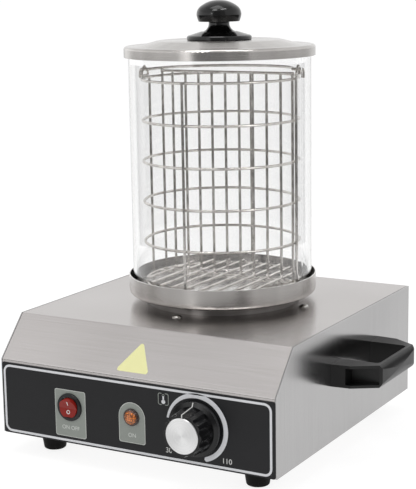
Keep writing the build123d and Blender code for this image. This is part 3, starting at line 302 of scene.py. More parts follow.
# The lid is painted a little darker than the pan: painted shade.
lid_steel_painted_shade = spun_metal("stainless_spun_lid_painted_shade", "#c2bfbc", "#b3b0ad", 0.2, 0.28)
dress(lid_steel_painted_shade, "lid_pan")

# %% [markdown]
# ## Stainless wire
# The basket is bent and spot-welded from drawn stainless wire, then electropolished.
# Drawing leaves it smooth, and polishing makes it bright, with slightly darker patches
# near the welds. A soft noise, drawn about nine millimetres wide, stands for that.

# %% Wire finish
PATCH_MM = 9.0
wire_steel, shader = start("stainless_wire_polished", {"Metallic": 1.0})
place = add(wire_steel, "ShaderNodeTexCoord", {})
patches = add(wire_steel, "ShaderNodeTexNoise", {
    "Vector": place.outputs["Object"], "Scale": 1 / (PATCH_MM * MM), "Detail": 2.0})
spread = add(wire_steel, "ShaderNodeMapRange", {
    "Value": patches.outputs["Fac"], "From Min": 0.3, "From Max": 0.7})
tint = add(wire_steel, "ShaderNodeMix", {
    "Factor": spread.outputs[0], 6: paint("#c4c0bb"), 7: paint("#e6e3df")},
    data_type="RGBA")
rough = add(wire_steel, "ShaderNodeMapRange", {
    "Value": patches.outputs["Fac"], "To Min": 0.16, "To Max": 0.3})
join(wire_steel, shader, {"Base Color": tint.outputs[2], "Roughness": rough.outputs[0]})
dress(wire_steel, "basket_rings", "basket_uprights", "basket_divider", "basket_floor",
      "basket_ears", "basket_bail")

# %% [markdown]
# ## Glass tower
# The cylinder is borosilicate glass, drawn as a tube and fire-polished at its ends. It is
# modelled with its true wall, so refraction alone draws the faint lines down its sides. A
# trace of grey keeps it from vanishing against a white room. The faint waviness of drawn
# glass is a bump a few centimetres long.

# %% Glass finish
WAVE_MM = 35.0
WAVE_DEPTH_MM = 0.1
glass, shader = start("borosilicate_glass", {
    "Base Color": paint("#fdfdfd"), "Transmission Weight": 1.0, "Roughness": 0.0,
    "IOR": 1.47})
place = add(glass, "ShaderNodeTexCoord", {})
wave = add(glass, "ShaderNodeTexNoise", {
    "Vector": place.outputs["Object"], "Scale": 1 / (WAVE_MM * MM), "Detail": 0.0})
bump = add(glass, "ShaderNodeBump", {
    "Height": wave.outputs["Fac"], "Strength": 0.01, "Distance": WAVE_DEPTH_MM * MM})
join(glass, shader, {"Normal": bump.outputs[0]})
dress(glass, "glass_cylinder")

# %% [markdown]
# ## Black plastics and rubber
# Five black materials meet here and the eye tells them apart by their gloss. The carry
# handles are glass-filled nylon with a fine spark-eroded texture. The lid's knob is
# polished phenolic, nearly a mirror. The dial is ABS with a light sheen. The switch's
# bezel, the lamp's nut and the cable gland are smooth nylon, a little duller. The feet are
# rubber, matt and a little dusty. Each is the same recipe with its own colour, roughness,
# grain and gloss.

# %% Moulded blacks
WEAR_MM = 18.0
SKIN_DEPTH_MM = 0.1
ROUGH_SPREAD = 0.06      # either side of the roughness that is asked for


def moulded(name, colour, worn, roughness, grain_mm, bump_strength, specular=0.5):
    """Moulded plastic or rubber with a fine skin texture and faint wear."""
    plastic, shader = start(name, {"IOR": 1.5, "Specular IOR Level": specular})
    place = add(plastic, "ShaderNodeTexCoord", {})
    skin = add(plastic, "ShaderNodeTexNoise", {
        "Vector": place.outputs["Object"], "Scale": 1 / (grain_mm * MM), "Detail": 2.0})
    wear = add(plastic, "ShaderNodeTexNoise", {
        "Vector": place.outputs["Object"], "Scale": 1 / (WEAR_MM * MM), "Detail": 3.0})
    mixed = add(plastic, "ShaderNodeMix", {
        "Factor": wear.outputs["Fac"], 6: paint(colour), 7: paint(worn)},
        data_type="RGBA")
    rough = add(plastic, "ShaderNodeMapRange", {
        "Value": wear.outputs["Fac"], "To Min": roughness - ROUGH_SPREAD,
        "To Max": roughness + ROUGH_SPREAD})
    bump = add(plastic, "ShaderNodeBump", {
        "Height": skin.outputs["Fac"], "Strength": bump_strength,
        "Distance": SKIN_DEPTH_MM * MM})
    join(plastic, shader, {"Base Color": mixed.outputs[2], "Roughness": rough.outputs[0],
                           "Normal": bump.outputs[0]})
    return plastic


handle_nylon = moulded("nylon_textured_black", "#0b0b0b", "#121212", 0.34, 0.9, 0.12,
                       specular=0.4)
dress(handle_nylon, "right_carry_handle", "left_carry_handle")
knob_phenolic = moulded("phenolic_polished_black", "#060606", "#0c0c0c", 0.14, 3.0, 0.02,
                        specular=0.4)
dress(knob_phenolic, "lid_knob")
dial_abs = moulded("abs_moulded_black", "#0b0b0c", "#131315", 0.24, 1.2, 0.05,
                   specular=0.4)
dress(dial_abs, "dial_knob")
bezel_nylon = moulded("nylon_smooth_black", "#0e0e0f", "#18181a", 0.3, 1.0, 0.05,
                      specular=0.4)
dress(bezel_nylon, "switch_housing", "lamp_nut", "cable_gland", "gland_nut")
foot_rubber = moulded("rubber_black", "#0b0b0b", "#131312", 0.6, 0.8, 0.2,
                      specular=0.15)
dress(foot_rubber, "feet")

# %% [markdown]
# ## Panel film
# The upright front is covered with a polycarbonate film, printed charcoal on its back and
# embossed with a fine matt grain on its face. The grain is about 0.2 mm and is drawn at
# 0.7 mm so that it shows.

# %% Film finish
panel_film = moulded("polycarbonate_film_charcoal", "#1d1d1f", "#232325", 0.42, 0.7, 0.1,
                     specular=0.25)
dress(panel_film, "control_panel")

# %% [markdown]
# ## Spun aluminium cap
# The disc on the dial is aluminium, faced on a lathe. Its scratches are circles, which
# throw two opposite fans of light; here they are painted into its colour as painted
# highlights. The disc faces forwards, so its axis is level: the direction round it comes
# from X and Z. The painted fans are drawn with the cosine of twice the angle, which is
# what two opposite highlights are.

# %% Cap finish
low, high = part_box("dial_cap")
DIAL_X = (low[0] + high[0]) / 2
DIAL_Z = (low[2] + high[2]) / 2
DIAL_FACE_Y = low[1]
PAINTED_FAN_TILT = math.radians(136)
PAINTED_FAN_STRENGTH = 0.35
GROOVE_MM = 0.5
cap_metal, shader = start("aluminium_spun", {"Metallic": 1.0})
place = add(cap_metal, "ShaderNodeTexCoord", {})
from_axis = add(cap_metal, "ShaderNodeVectorMath", {
    0: place.outputs["Object"], 1: (DIAL_X, DIAL_FACE_Y, DIAL_Z)}, operation="SUBTRACT")
parts = add(cap_metal, "ShaderNodeSeparateXYZ", {0: from_axis.outputs[0]})
angle = add(cap_metal, "ShaderNodeMath", {0: parts.outputs["Z"], 1: parts.outputs["X"]},
            operation="ARCTAN2")
# Painted highlights: two opposite fans of light, painted into the colour.
doubled = add(cap_metal, "ShaderNodeMath", {0: angle.outputs[0], 1: 2.0, 2: PAINTED_FAN_TILT},
              operation="MULTIPLY_ADD")
painted_fans = add(cap_metal, "ShaderNodeMath", {0: doubled.outputs[0]}, operation="COSINE")
radius = add(cap_metal, "ShaderNodeVectorMath", {0: from_axis.outputs[0]},
             operation="LENGTH")
grooves = add(cap_metal, "ShaderNodeTexNoise", {
    "W": radius.outputs["Value"], "Scale": 1 / (GROOVE_MM * MM), "Detail": 1.0},
    noise_dimensions="1D")
tone = add(cap_metal, "ShaderNodeMath", {
    0: painted_fans.outputs[0], 1: PAINTED_FAN_STRENGTH, 2: grooves.outputs["Fac"]},
    operation="MULTIPLY_ADD")
shade = add(cap_metal, "ShaderNodeMapRange", {
    "Value": tone.outputs[0], "From Min": 0.1, "From Max": 0.9})
mixed = add(cap_metal, "ShaderNodeMix", {
    "Factor": shade.outputs[0], 6: paint("#dadada"), 7: paint("#f2f2f2")},
    data_type="RGBA")
rough = add(cap_metal, "ShaderNodeMapRange", {
    "Value": grooves.outputs["Fac"], "To Min": 0.24, "To Max": 0.36})
join(cap_metal, shader, {"Base Color": mixed.outputs[2], "Roughness": rough.outputs[0]})
dress(cap_metal, "dial_cap")

# %% [markdown]
# ## Rocker and lamp lens
# Both are polycarbonate, coloured through and lit from inside when in use. The rocker is
# smooth, cherry red. The lens is amber and moulded with small prisms that scatter the
# bulb's light: a grid of cells about 2 mm wide, dark in their joints. Towards its edge the
# lens is painted dark brown: painted shade round its rim.

# %% Coloured plastics
rocker_red = moulded("polycarbonate_red", "#7f1a13", "#96231a", 0.3, 2.0, 0.03,
                     specular=0.3)
dress(rocker_red, "switch_rocker")
PRISM_MM = 1.9
PRISM_DEPTH_MM = 0.4
JOINT_WIDTH = 0.22       # of a prism, over which its joint is dark
LENS_SHADE_RIM_MM = 6.6        # radius at which the lens is darkest
RIM_FADE_MM = 1.5
lens_amber, shader = start("polycarbonate_amber", {
    "IOR": 1.58, "Roughness": 0.16, "Coat Weight": 0.3})
place = add(lens_amber, "ShaderNodeTexCoord", {})
prisms = add(lens_amber, "ShaderNodeTexVoronoi", {
    "Vector": place.outputs["Object"], "Scale": 1 / (PRISM_MM * MM), "Randomness": 0.35},
    feature="DISTANCE_TO_EDGE")
walls = add(lens_amber, "ShaderNodeMapRange", {
    "Value": prisms.outputs["Distance"], "From Min": 0.0, "From Max": JOINT_WIDTH})
grid = add(lens_amber, "ShaderNodeMix", {
    "Factor": walls.outputs[0], 6: paint("#180602"), 7: paint("#ee842e")},
    data_type="RGBA")
low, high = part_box("lamp_lens")
from_axis = add(lens_amber, "ShaderNodeVectorMath", {
    0: place.outputs["Object"], 1: [(a + b) / 2 for a, b in zip(low, high)]},
    operation="SUBTRACT")
flat = add(lens_amber, "ShaderNodeVectorMath", {0: from_axis.outputs[0], 1: (1, 0, 1)},
           operation="MULTIPLY")
radius = add(lens_amber, "ShaderNodeVectorMath", {0: flat.outputs[0]}, operation="LENGTH")
# Painted shade: the lens darkens towards its rim.
rim = add(lens_amber, "ShaderNodeMapRange", {
    "Value": radius.outputs["Value"], "From Min": (LENS_SHADE_RIM_MM - RIM_FADE_MM) * MM,
    "From Max": LENS_SHADE_RIM_MM * MM})
tint = add(lens_amber, "ShaderNodeMix", {
    "Factor": rim.outputs[0], 6: grid.outputs[2], 7: paint("#2c1107")},
    data_type="RGBA")
bump = add(lens_amber, "ShaderNodeBump", {
    "Height": walls.outputs[0], "Strength": 0.6,
    "Distance": PRISM_DEPTH_MM * MM})
join(lens_amber, shader, {"Base Color": tint.outputs[2], "Normal": bump.outputs[0]})
dress(lens_amber, "lamp_lens")

# %% [markdown]
# ## Screws, brass, copper and the parts inside
# Little of this shows, but a vent or an open pose gives a glimpse of it. The four domed
# screws round the pan are polished stainless. The hidden ones are zinc-plated, which has
# a bluish, blotchy bloom. Terminals are brass, the thermostat's bulb and its capillary
# are copper, the hot plate is machined aluminium and the element's sheath is steel, dark
# from heat.

# %% Hardware finishes


def plain_metal(name, light, dark, roughness, patch_mm):
    """Metal with blotches of tone, such as plating, bloom or heat tint."""
    metal, shader = start(name, {"Metallic": 1.0})
    place = add(metal, "ShaderNodeTexCoord", {})
    bloom = add(metal, "ShaderNodeTexNoise", {
        "Vector": place.outputs["Object"], "Scale": 1 / (patch_mm * MM), "Detail": 3.0})
    mixed = add(metal, "ShaderNodeMix", {
        "Factor": bloom.outputs["Fac"], 6: paint(dark), 7: paint(light)},
        data_type="RGBA")
    rough = add(metal, "ShaderNodeMapRange", {
        "Value": bloom.outputs["Fac"], "To Min": roughness - ROUGH_SPREAD,
        "To Max": roughness + ROUGH_SPREAD})
    join(metal, shader, {"Base Color": mixed.outputs[2], "Roughness": rough.outputs[0]})
    return metal


dress(plain_metal("stainless_polished", "#c6c4c1", "#a19e9a", 0.16, 4.0),
      "pan_screws", "lid_screw", "case_screws")
dress(plain_metal("steel_zinc_plated", "#b9bcc2", "#8d9096", 0.38, 3.0),
      "pan_screw_nuts", "foot_screws", "foot_nuts", "handle_screws", "clamp_bar",
      "clamp_nut", "bush_nut", "thermostat_shaft")
dress(plain_metal("brass_plain", "#d2b06a", "#a9853f", 0.3, 3.0),
      "switch_terminals", "earth_stud", "earth_nut", "terminal_screws")
dress(plain_metal("copper_plain", "#c98460", "#9a5a3c", 0.32, 5.0),
      "thermostat_bulb", "thermostat_capillary")
dress(plain_metal("aluminium_machined", "#c4c5c6", "#a9aaab", 0.34, 2.0), "hot_plate")
dress(plain_metal("steel_heat_tinted", "#6b6259", "#3b3632", 0.42, 12.0),
      "heating_element")
dress(moulded("polyamide_cream", "#d8d2c2", "#cbc4b2", 0.45, 0.8, 0.08),
      "terminal_block", "lamp_body")
dress(moulded("polyester_filled_grey", "#6a665f", "#5a5751", 0.55, 0.8, 0.12),
      "thermostat_body")

# %% [markdown]
# ## Printed plates
# The print on the panel is silk-screened ink, a few hundredths of a millimetre thick, but
# a render needs it to stand clearly off the film. Each print is therefore a solid sheet
# 0.08 mm thick, and the marks on moving parts, which are painted, are 0.12 mm. An outline
# is a list of points in millimetres, to the right and up, as seen from in front. A plate
# fills one outline, and a band fills the space between two outlines that have equally
# many points.

# %% Flat prints
INK_MM = 0.08
PAINT_MM = 0.12


def face_place(origin, right, out):
    """Matrix of a drawing plane, from its origin, its right and its outward direction."""
    out = Vector(out).normalized()
    right = Vector(right).normalized()
    axes = Matrix((right, out.cross(right), out)).transposed()
    return Matrix.Translation(Vector(origin)) @ axes.to_4x4()


def mesh_object(name, mesh, material):
    """Turns a bmesh into an object with a finish."""
    data = bpy.data.meshes.new(name)
    mesh.to_mesh(data)
    mesh.free()
    data.materials.append(material)
    made = bpy.data.objects.new(name, data)
    bpy.context.collection.objects.link(made)
    return made


def finish_mesh(name, mesh, material, body):
    """Turns a bmesh into a piece that rides on a body."""
    bmesh.ops.recalc_face_normals(mesh, faces=mesh.faces)
    piece = mesh_object(name, mesh, material)
    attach(piece, body)
    print(name, "has", len(piece.data.vertices), "points")


def join_rows(mesh, first, second, closed):
    """Faces between two rows of points."""
    count = len(first)
    for i in range(count if closed else count - 1):
        j = (i + 1) % count
        mesh.faces.new((first[i], first[j], second[j], second[i]))


def plate(name, outline, place, material, body="housing",
          thickness=INK_MM):
    """Solid sheet with this outline."""
    mesh = bmesh.new()
    rows = [[mesh.verts.new(place @ Vector((x * MM, y * MM, z * MM))) for x, y in outline]
            for z in (0.0, thickness)]
    mesh.faces.new(rows[0])
    mesh.faces.new(rows[1])
    join_rows(mesh, rows[0], rows[1], True)
    finish_mesh(name, mesh, material, body)


def band(name, outer, inner, place, material, closed=True, body="housing",
         thickness=INK_MM):
    """Solid sheet between two outlines."""
    mesh = bmesh.new()
    rows = [[mesh.verts.new(place @ Vector((x * MM, y * MM, z * MM))) for x, y in line]
            for line, z in ((outer, 0.0), (outer, thickness), (inner, thickness),
                            (inner, 0.0))]
    for first, second in zip(rows, rows[1:] + rows[:1]):
        join_rows(mesh, first, second, closed)
    if not closed:
        mesh.faces.new([row[0] for row in rows])
        mesh.faces.new([row[-1] for row in rows])
    finish_mesh(name, mesh, material, body)


# %% Outlines


def arc(x, y, radius, first, last, steps):
    """Points on a circle, with angles in degrees from the right."""
    angles = [math.radians(first + (last - first) * i / steps) for i in range(steps + 1)]
    return [(x + radius * math.cos(a), y + radius * math.sin(a)) for a in angles]


def rounded_box(left, bottom, right, top, radius, steps=6):
    """Outline of a rectangle with round corners."""
    corners = ((right, top, 0), (left, top, 90), (left, bottom, 180), (right, bottom, 270))
    points = []
    for x, y, turn in corners:
        centre_x = x - radius if x == right else x + radius
        centre_y = y - radius if y == top else y + radius
        points += arc(centre_x, centre_y, radius, turn, turn + 90, steps)
    return points


print("a rounded box has", len(rounded_box(0, 0, 10, 5, 1)), "points")

# %% [markdown]
# ## Inks
# Ink is a thin, even, slightly rubbery paint, and its colour varies a little from grain to
# grain. The border and the arc are a silvery grey, the plates a warm grey and the
# lettering off-white. None is metallic, so they stay light from every side.

# %% Ink finishes
FLAKE_MM = 0.6


def ink(name, colour, darker, roughness):
    """Screen-printed ink with a little grain in its tone."""
    layer, shader = start(name, {"Roughness": roughness})
    place = add(layer, "ShaderNodeTexCoord", {})
    flake = add(layer, "ShaderNodeTexNoise", {
        "Vector": place.outputs["Object"], "Scale": 1 / (FLAKE_MM * MM), "Detail": 2.0})
    mixed = add(layer, "ShaderNodeMix", {
        "Factor": flake.outputs["Fac"], 6: paint(darker), 7: paint(colour)},
        data_type="RGBA")
    join(layer, shader, {"Base Color": mixed.outputs[2]})
    print("mixed", name)
    return layer


silver_ink = ink("ink_silver", "#e2e3e6", "#d4d5d9", 0.45)
grey_ink = ink("ink_warm_grey", "#959a94", "#898e88", 0.5)
pale_ink = ink("ink_pale_grey", "#d6d9d4", "#caccc8", 0.5)
white_ink = ink("ink_white", "#e4e4e2", "#d4d4d2", 0.5)

# %% [markdown]
# ## Print on the panel
# The drawing plane lies on the film, with its origin at the middle of the film's lower
# edge, so that every size below can be read off a drawing of the panel: a silver line
# near the edge, a grey plate round the switch, an arched one round the lamp, and a silver
# arc round the dial that starts thin and ends full.

# %% Border
film_low, film_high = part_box("control_panel")
PANEL_ORIGIN = (0.0, film_low[1], film_low[2])
panel = face_place(PANEL_ORIGIN, (1, 0, 0), (0, -1, 0))
LINE_MM = 2.1
BORDER = (-137.4, 1.4, 136.1, 64.5)          # left, bottom, right and top
BORDER_CORNER = 7.0


def inset(box, by):
    """The same box, smaller by this much on each side."""
    left, bottom, right, top = box
    return left + by, bottom + by, right - by, top - by


band("print_border", rounded_box(*BORDER, BORDER_CORNER),
     rounded_box(*inset(BORDER, LINE_MM), BORDER_CORNER - LINE_MM), panel, silver_ink)

# %% Plates of the switch and the lamp
EDGE_MM = 0.5
SWITCH_PLATE = (-81.0, 6.0, -48.3, 49.2)     # left, bottom, right and top
PLATE_CORNER, FIELD_CORNER = 2.0, 1.6
raised = panel @ Matrix.Translation((0, 0, INK_MM * MM))
plate("print_switch_plate", rounded_box(*SWITCH_PLATE, PLATE_CORNER), panel, pale_ink)
plate("print_switch_field", rounded_box(*inset(SWITCH_PLATE, EDGE_MM), FIELD_CORNER),
      raised, grey_ink)


def arch(half_width, bottom, spring, corner, inset):
    """Outline with square feet and a half-round head."""
    half = half_width - inset
    low = bottom + inset
    feet = (arc(-half + corner, low + corner, corner, 180, 270, 4)
            + arc(half - corner, low + corner, corner, 270, 360, 4))
    return feet + arc(0, spring, half, 0, 180, 24)


LAMP_PLATE = (13.4, 10.2, 33.5, 1.8)   # half width, bottom, spring and foot corner
plate("print_lamp_plate", arch(*LAMP_PLATE, 0.0), panel, pale_ink)
plate("print_lamp_field", arch(*LAMP_PLATE, EDGE_MM), raised, grey_ink)

# %% Arc round the dial
ARC_OUTER = 30.0
ARC_INNER = 25.8
ARC_START = 170.0       # degrees from the right, where the arc begins
ARC_END = -71.0
ARC_TAPER = 75.0        # degrees over which it grows to its full width
ARC_THIN = 2.0          # its width where it begins
ARC_STEPS = 60
dial_x = DIAL_X / MM
dial_height = (DIAL_Z - film_low[2]) / MM
outer_line, inner_line = [], []
for step in range(ARC_STEPS + 1):
    turn = ARC_START + (ARC_END - ARC_START) * step / ARC_STEPS
    grown = min(1.0, (ARC_START - turn) / ARC_TAPER)
    width = ARC_THIN + (ARC_OUTER - ARC_INNER - ARC_THIN) * grown
    direction = (math.cos(math.radians(turn)), math.sin(math.radians(turn)))
    outer_line.append((dial_x + ARC_OUTER * direction[0],
                       dial_height + ARC_OUTER * direction[1]))
    inner_line.append((dial_x + (ARC_OUTER - width) * direction[0],
                       dial_height + (ARC_OUTER - width) * direction[1]))
band("print_dial_arc", outer_line, inner_line, panel, silver_ink, closed=False)

# %% Round end of the arc
middle = (ARC_OUTER + ARC_INNER) / 2
end_x = dial_x + middle * math.cos(math.radians(ARC_END))
end_y = dial_height + middle * math.sin(math.radians(ARC_END))
cap_points = arc(end_x, end_y, (ARC_OUTER - ARC_INNER) / 2, ARC_END - 180, ARC_END, 12)
plate("print_dial_arc_end", cap_points, panel, silver_ink)

# %% [markdown]
# ## Lettering and pictogram
# A text object can be extruded like any outline and stays sharp at every distance. Only
# plain marks are used: ON and OFF at the switch, ON at the lamp, and a low and a high
# number at the ends of the arc. The pictogram is a thermometer between two brackets.

# %% Lettering
CAPITALS = 0.7           # height of a capital as a share of the font's size


def lettering(name, words, x, y, height_mm, place, material):
    """Words centred on a point of the drawing plane."""
    curve = bpy.data.curves.new(name, "FONT")
    curve.body = words
    curve.size = height_mm * MM / CAPITALS
    curve.align_x = "CENTER"
    curve.align_y = "CENTER"
    curve.extrude = INK_MM * MM / 2
    curve.materials.append(material)
    text = bpy.data.objects.new(name, curve)
    text.matrix_world = place @ Matrix.Translation((x * MM, y * MM, INK_MM * MM))
    bpy.context.collection.objects.link(text)
    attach(text, "housing")
    print(name, "reads", words)


lettering("print_switch_words", "ON OFF", -64.7, 14.4, 3.6, raised, pale_ink)
lettering("print_lamp_word", "ON", 0.0, 17.2, 3.6, raised, pale_ink)
lettering("print_dial_low", "30", 37.0, 9.4, 4.6, panel, white_ink)
lettering("print_dial_high", "110", 93.6, 8.4, 4.6, panel, white_ink)

# %% Thermometer pictogram
ICON_X, ICON_Y = 32.4, 54.4
BULB_Y, BULB_RADIUS = -2.4, 1.9
TUBE_HALF, TUBE_LOW, TUBE_HIGH = 0.75, -1.2, 2.6
HEAD_Y, HEAD_OUTER, HEAD_INNER = 3.2, 1.25, 0.8
FRAME_HALF, FRAME_BEND = 5.3, 1.8
FRAME_GAP_HALF = 1.7     # half the opening between the two brackets
STROKE = 0.6


def shifted(points, x, y):
    """The same outline at another place."""
    return [(px + x, py + y) for px, py in points]


bulb = arc(0, BULB_Y, BULB_RADIUS, 110, 430, 20)     # open where the tube enters
tube = [(-TUBE_HALF, TUBE_LOW), (TUBE_HALF, TUBE_LOW), (TUBE_HALF, TUBE_HIGH),
        (-TUBE_HALF, TUBE_HIGH)]
head_outer = arc(0, HEAD_Y, HEAD_OUTER, -30, 210, 16)
head_inner = arc(0, HEAD_Y, HEAD_INNER, -30, 210, 16)
plate("print_icon_bulb", shifted(bulb, ICON_X, ICON_Y), panel, silver_ink)
plate("print_icon_tube", shifted(tube, ICON_X, ICON_Y), panel, silver_ink)
band("print_icon_head", shifted(head_outer, ICON_X, ICON_Y),
     shifted(head_inner, ICON_X, ICON_Y), panel, grey_ink, closed=False)

# %% Frame of the pictogram


def bracket(half, bend, side):
    """One half of a square frame with round corners, open in its middle."""
    points = ([(-FRAME_GAP_HALF, half)]
              + arc(bend - half, half - bend, bend, 90, 180, 6)
              + arc(bend - half, bend - half, bend, 180, 270, 6)
              + [(-FRAME_GAP_HALF, -half)])
    return [(x * side, y) for x, y in points][::side]


for side, name in ((1, "left"), (-1, "right")):
    band(f"print_icon_frame_{name}",
         shifted(bracket(FRAME_HALF, FRAME_BEND, side), ICON_X, ICON_Y),
         shifted(bracket(FRAME_HALF - STROKE, FRAME_BEND - STROKE, side),
                 ICON_X, ICON_Y),
         panel, grey_ink, closed=False)

# %% [markdown]
# ## Marks on the rocker
# A rocker carries a bar for on and a ring for off, sunk or printed in white. The rocker's
# front is hollowed like an open book and rests tilted by eight degrees, so each mark lies
# on its own half. The place of each half follows from that shape. The ring is closed: its
# points are 15 degrees apart, so the last one stands at 345 degrees.

# %% Place of the rocker's halves
low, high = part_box("switch_housing")
SWITCH_X = (low[0] + high[0]) / 2
SWITCH_Z = (low[2] + high[2]) / 2
ROCKER_TILT = math.radians(8.0)
ROCKER_HOLLOW_MM = 3.2
ROCKER_HALF_MM = 9.2
ROCKER_RISE_MM = 2.2


def rocker_place(side, distance_mm):
    """Drawing plane on the upper (1) or lower (-1) half of the rocker."""
    slope = math.atan2(ROCKER_RISE_MM, ROCKER_HALF_MM)
    rest = (Matrix.Translation((SWITCH_X, film_low[1], SWITCH_Z))
            @ face_place((0, 0, 0), (1, 0, 0), (0, -1, 0))
            @ Matrix.Rotation(ROCKER_TILT, 4, "X"))
    lift = ROCKER_HOLLOW_MM + distance_mm * math.tan(slope)
    return (rest @ Matrix.Translation((0, side * distance_mm * MM, lift * MM))
            @ Matrix.Rotation(side * slope, 4, "X"))


print("switch at", round(SWITCH_X, 4), round(SWITCH_Z, 4))

# %% Rocker marks
BAR = (0.3, -2.0, 1.1, 2.0)                  # left, bottom, right and top
BAR_CORNER = 0.3
BAR_MM, RING_MM = 5.2, 3.2                   # from the rocker's middle
RING_X, RING_OUTER, RING_INNER = 0.4, 1.9, 1.15
plate("mark_on", rounded_box(*BAR, BAR_CORNER), rocker_place(1, BAR_MM), white_ink,
      body="rocker", thickness=PAINT_MM)
band("mark_off", arc(RING_X, 0, RING_OUTER, 0, 345, 23),
     arc(RING_X, 0, RING_INNER, 0, 345, 23), rocker_place(-1, RING_MM), white_ink,
     body="rocker", thickness=PAINT_MM)

# %% [markdown]
# ## Pointer on the dial
# A white line runs from the cap over the hub's edge, down its flank and across the
# skirt. It is a ribbon whose middle follows the knob's profile at twelve o'clock, lifted
# by the thickness of the paint.

# %% Pointer
POINTER_WIDTH_MM = 0.9
PROFILE = [(15.7, 24.6), (18.4, 24.6), (20.4, 7.1), (23.7, 5.75)]   # radius, height


def pointer_ribbon():
    """Ribbon along the profile, as a bmesh."""
    mesh = bmesh.new()
    rows = []
    for i, (radius_mm, height_mm) in enumerate(PROFILE):
        before = PROFILE[max(i - 1, 0)]
        after = PROFILE[min(i + 1, len(PROFILE) - 1)]
        run = Vector((after[0] - before[0], after[1] - before[1])).normalized()
        normal = Vector((-run.y, run.x)) * PAINT_MM
        row = []
        for side, lift in ((-1, 0), (1, 0), (1, 1), (-1, 1)):
            up = dial_height + radius_mm + normal.x * lift
            out = height_mm + normal.y * lift
            row.append(mesh.verts.new(panel @ Vector((
                (dial_x + side * POINTER_WIDTH_MM / 2) * MM, up * MM, out * MM))))
        rows.append(row)
    for first, second in zip(rows, rows[1:]):
        join_rows(mesh, first, second, True)
    mesh.faces.new(rows[0])
    mesh.faces.new(rows[-1])
    return mesh


finish_mesh("dial_pointer", pointer_ribbon(), white_ink, "dial")

# %% [markdown]
# ## Vinyl patch on the slope
# A pale yellow triangle with round corners is stuck on the slope above the lamp. It is
# left plain. The drawing plane lies on the slope, so it needs the slope's angle: the
# sheet climbs 36 mm while it runs back 33 mm.

# %% Yellow patch
yellow_vinyl = ink("vinyl_yellow", "#f4f2b6", "#eceaab", 0.4)
SLOPE_RISE, SLOPE_RUN = 36.0, 33.0
SLOPE_START = 69.0       # above the film's lower edge
VINYL_MM = 0.12
VINYL_PATCH = (-1.5, 5.0, 34.0, 30.5, 2.2)   # middle, bottom, width, height, corner
steepness = math.atan2(SLOPE_RISE, SLOPE_RUN)
slope_origin = (0.0, film_high[1], film_low[2] + SLOPE_START * MM)
slope = face_place(slope_origin, (1, 0, 0),
                   (0, -math.sin(steepness), math.cos(steepness)))


def rounded_triangle(x, bottom, width, height, radius):
    """Outline of an upright triangle with round corners."""
    slant = math.degrees(math.atan2(height, width / 2))
    inner = radius / math.tan(math.radians(slant / 2))
    rise = radius / math.cos(math.radians(slant))
    return (arc(x - width / 2 + inner, bottom + radius, radius, 90 + slant, 270, 6)
            + arc(x + width / 2 - inner, bottom + radius, radius, 270, 450 - slant, 6)
            + arc(x, bottom + height - rise, radius, 90 - slant, 90 + slant, 6))


plate("vinyl_patch", rounded_triangle(*VINYL_PATCH), slope, yellow_vinyl,
      thickness=VINYL_MM)

# %% [markdown]
# ## Floor, light and background
# The appliance stands on a pale sweep in a bright room. The floor is a large disc. Seen
# by the camera, in a reflection or through the glass, floor and room are white, while a
# share of the floor's own shading stays so that the object keeps its shadow. None of that
# glow reaches a matt surface. A ray that has passed through glass counts as glossy too, so
# the weaker glow, the one for mirrors, goes only to glossy rays that aren't transmitted.

# %% Rays that see the room
FLOOR_GLOW = 1.2
MIRRORED_GLOW = 0.96
GLOW_SHARE = 0.7         # the rest is the floor's own shading, with the shadow


def seen_plainly(material):
    """Light Path node, and a value that is 1 where camera, mirror or glass look."""
    ray = add(material, "ShaderNodeLightPath", {})
    seen = add(material, "ShaderNodeMath", {
        0: ray.outputs["Is Camera Ray"], 1: ray.outputs["Is Glossy Ray"]},
        operation="MAXIMUM")
    seen = add(material, "ShaderNodeMath", {
        0: seen.outputs[0], 1: ray.outputs["Is Transmission Ray"]}, operation="MAXIMUM")
    return ray, seen.outputs[0]


print("floor glow", FLOOR_GLOW, "at a share of", GLOW_SHARE)

# %% Floor
FLOOR_RADIUS = 30.0
FLOOR_DROP = 0.0005      # keeps the floor's face clear of the feet's
sweep, shader = start("studio_sweep", {
    "Base Color": paint("#f4f4f4"), "Roughness": 0.9, "Specular IOR Level": 0.1})
ray, seen = seen_plainly(sweep)
share = add(sweep, "ShaderNodeMath", {0: seen, 1: GLOW_SHARE}, operation="MULTIPLY")
mirrored = add(sweep, "ShaderNodeMath", {
    0: ray.outputs["Is Glossy Ray"], 1: ray.outputs["Is Transmission Ray"]},
    operation="SUBTRACT")
glow_level = add(sweep, "ShaderNodeMapRange", {
    "Value": mirrored.outputs[0], "To Min": FLOOR_GLOW, "To Max": MIRRORED_GLOW})
glow = add(sweep, "ShaderNodeEmission", {
    "Color": (1, 1, 1, 1), "Strength": glow_level.outputs[0]})
mixed = add(sweep, "ShaderNodeMixShader", {
    0: share.outputs[0], 1: shader.outputs[0], 2: glow.outputs[0]})
sweep.node_tree.links.new(mixed.outputs[0],
                          sweep.node_tree.nodes["Material Output"].inputs["Surface"])
floor_mesh = bmesh.new()
bmesh.ops.create_circle(floor_mesh, cap_ends=True, segments=96, radius=FLOOR_RADIUS)
floor = mesh_object("floor", floor_mesh, sweep)
floor.location.z = -FLOOR_DROP
print("floor radius", FLOOR_RADIUS, "m")

# %% Room
ROOM_LEVEL = 0.62        # light that the room gives to matt surfaces
world = bpy.data.worlds.new("room")
bpy.context.scene.world = world
world.use_nodes = True
background = world.node_tree.nodes["Background"]
ray, seen = seen_plainly(world)
level = add(world, "ShaderNodeMapRange", {
    "Value": seen, "To Min": ROOM_LEVEL, "To Max": 1.0})
world.node_tree.links.new(level.outputs[0], background.inputs["Strength"])
background.inputs["Color"].default_value = (1, 1, 1, 1)
print("room level", ROOM_LEVEL)

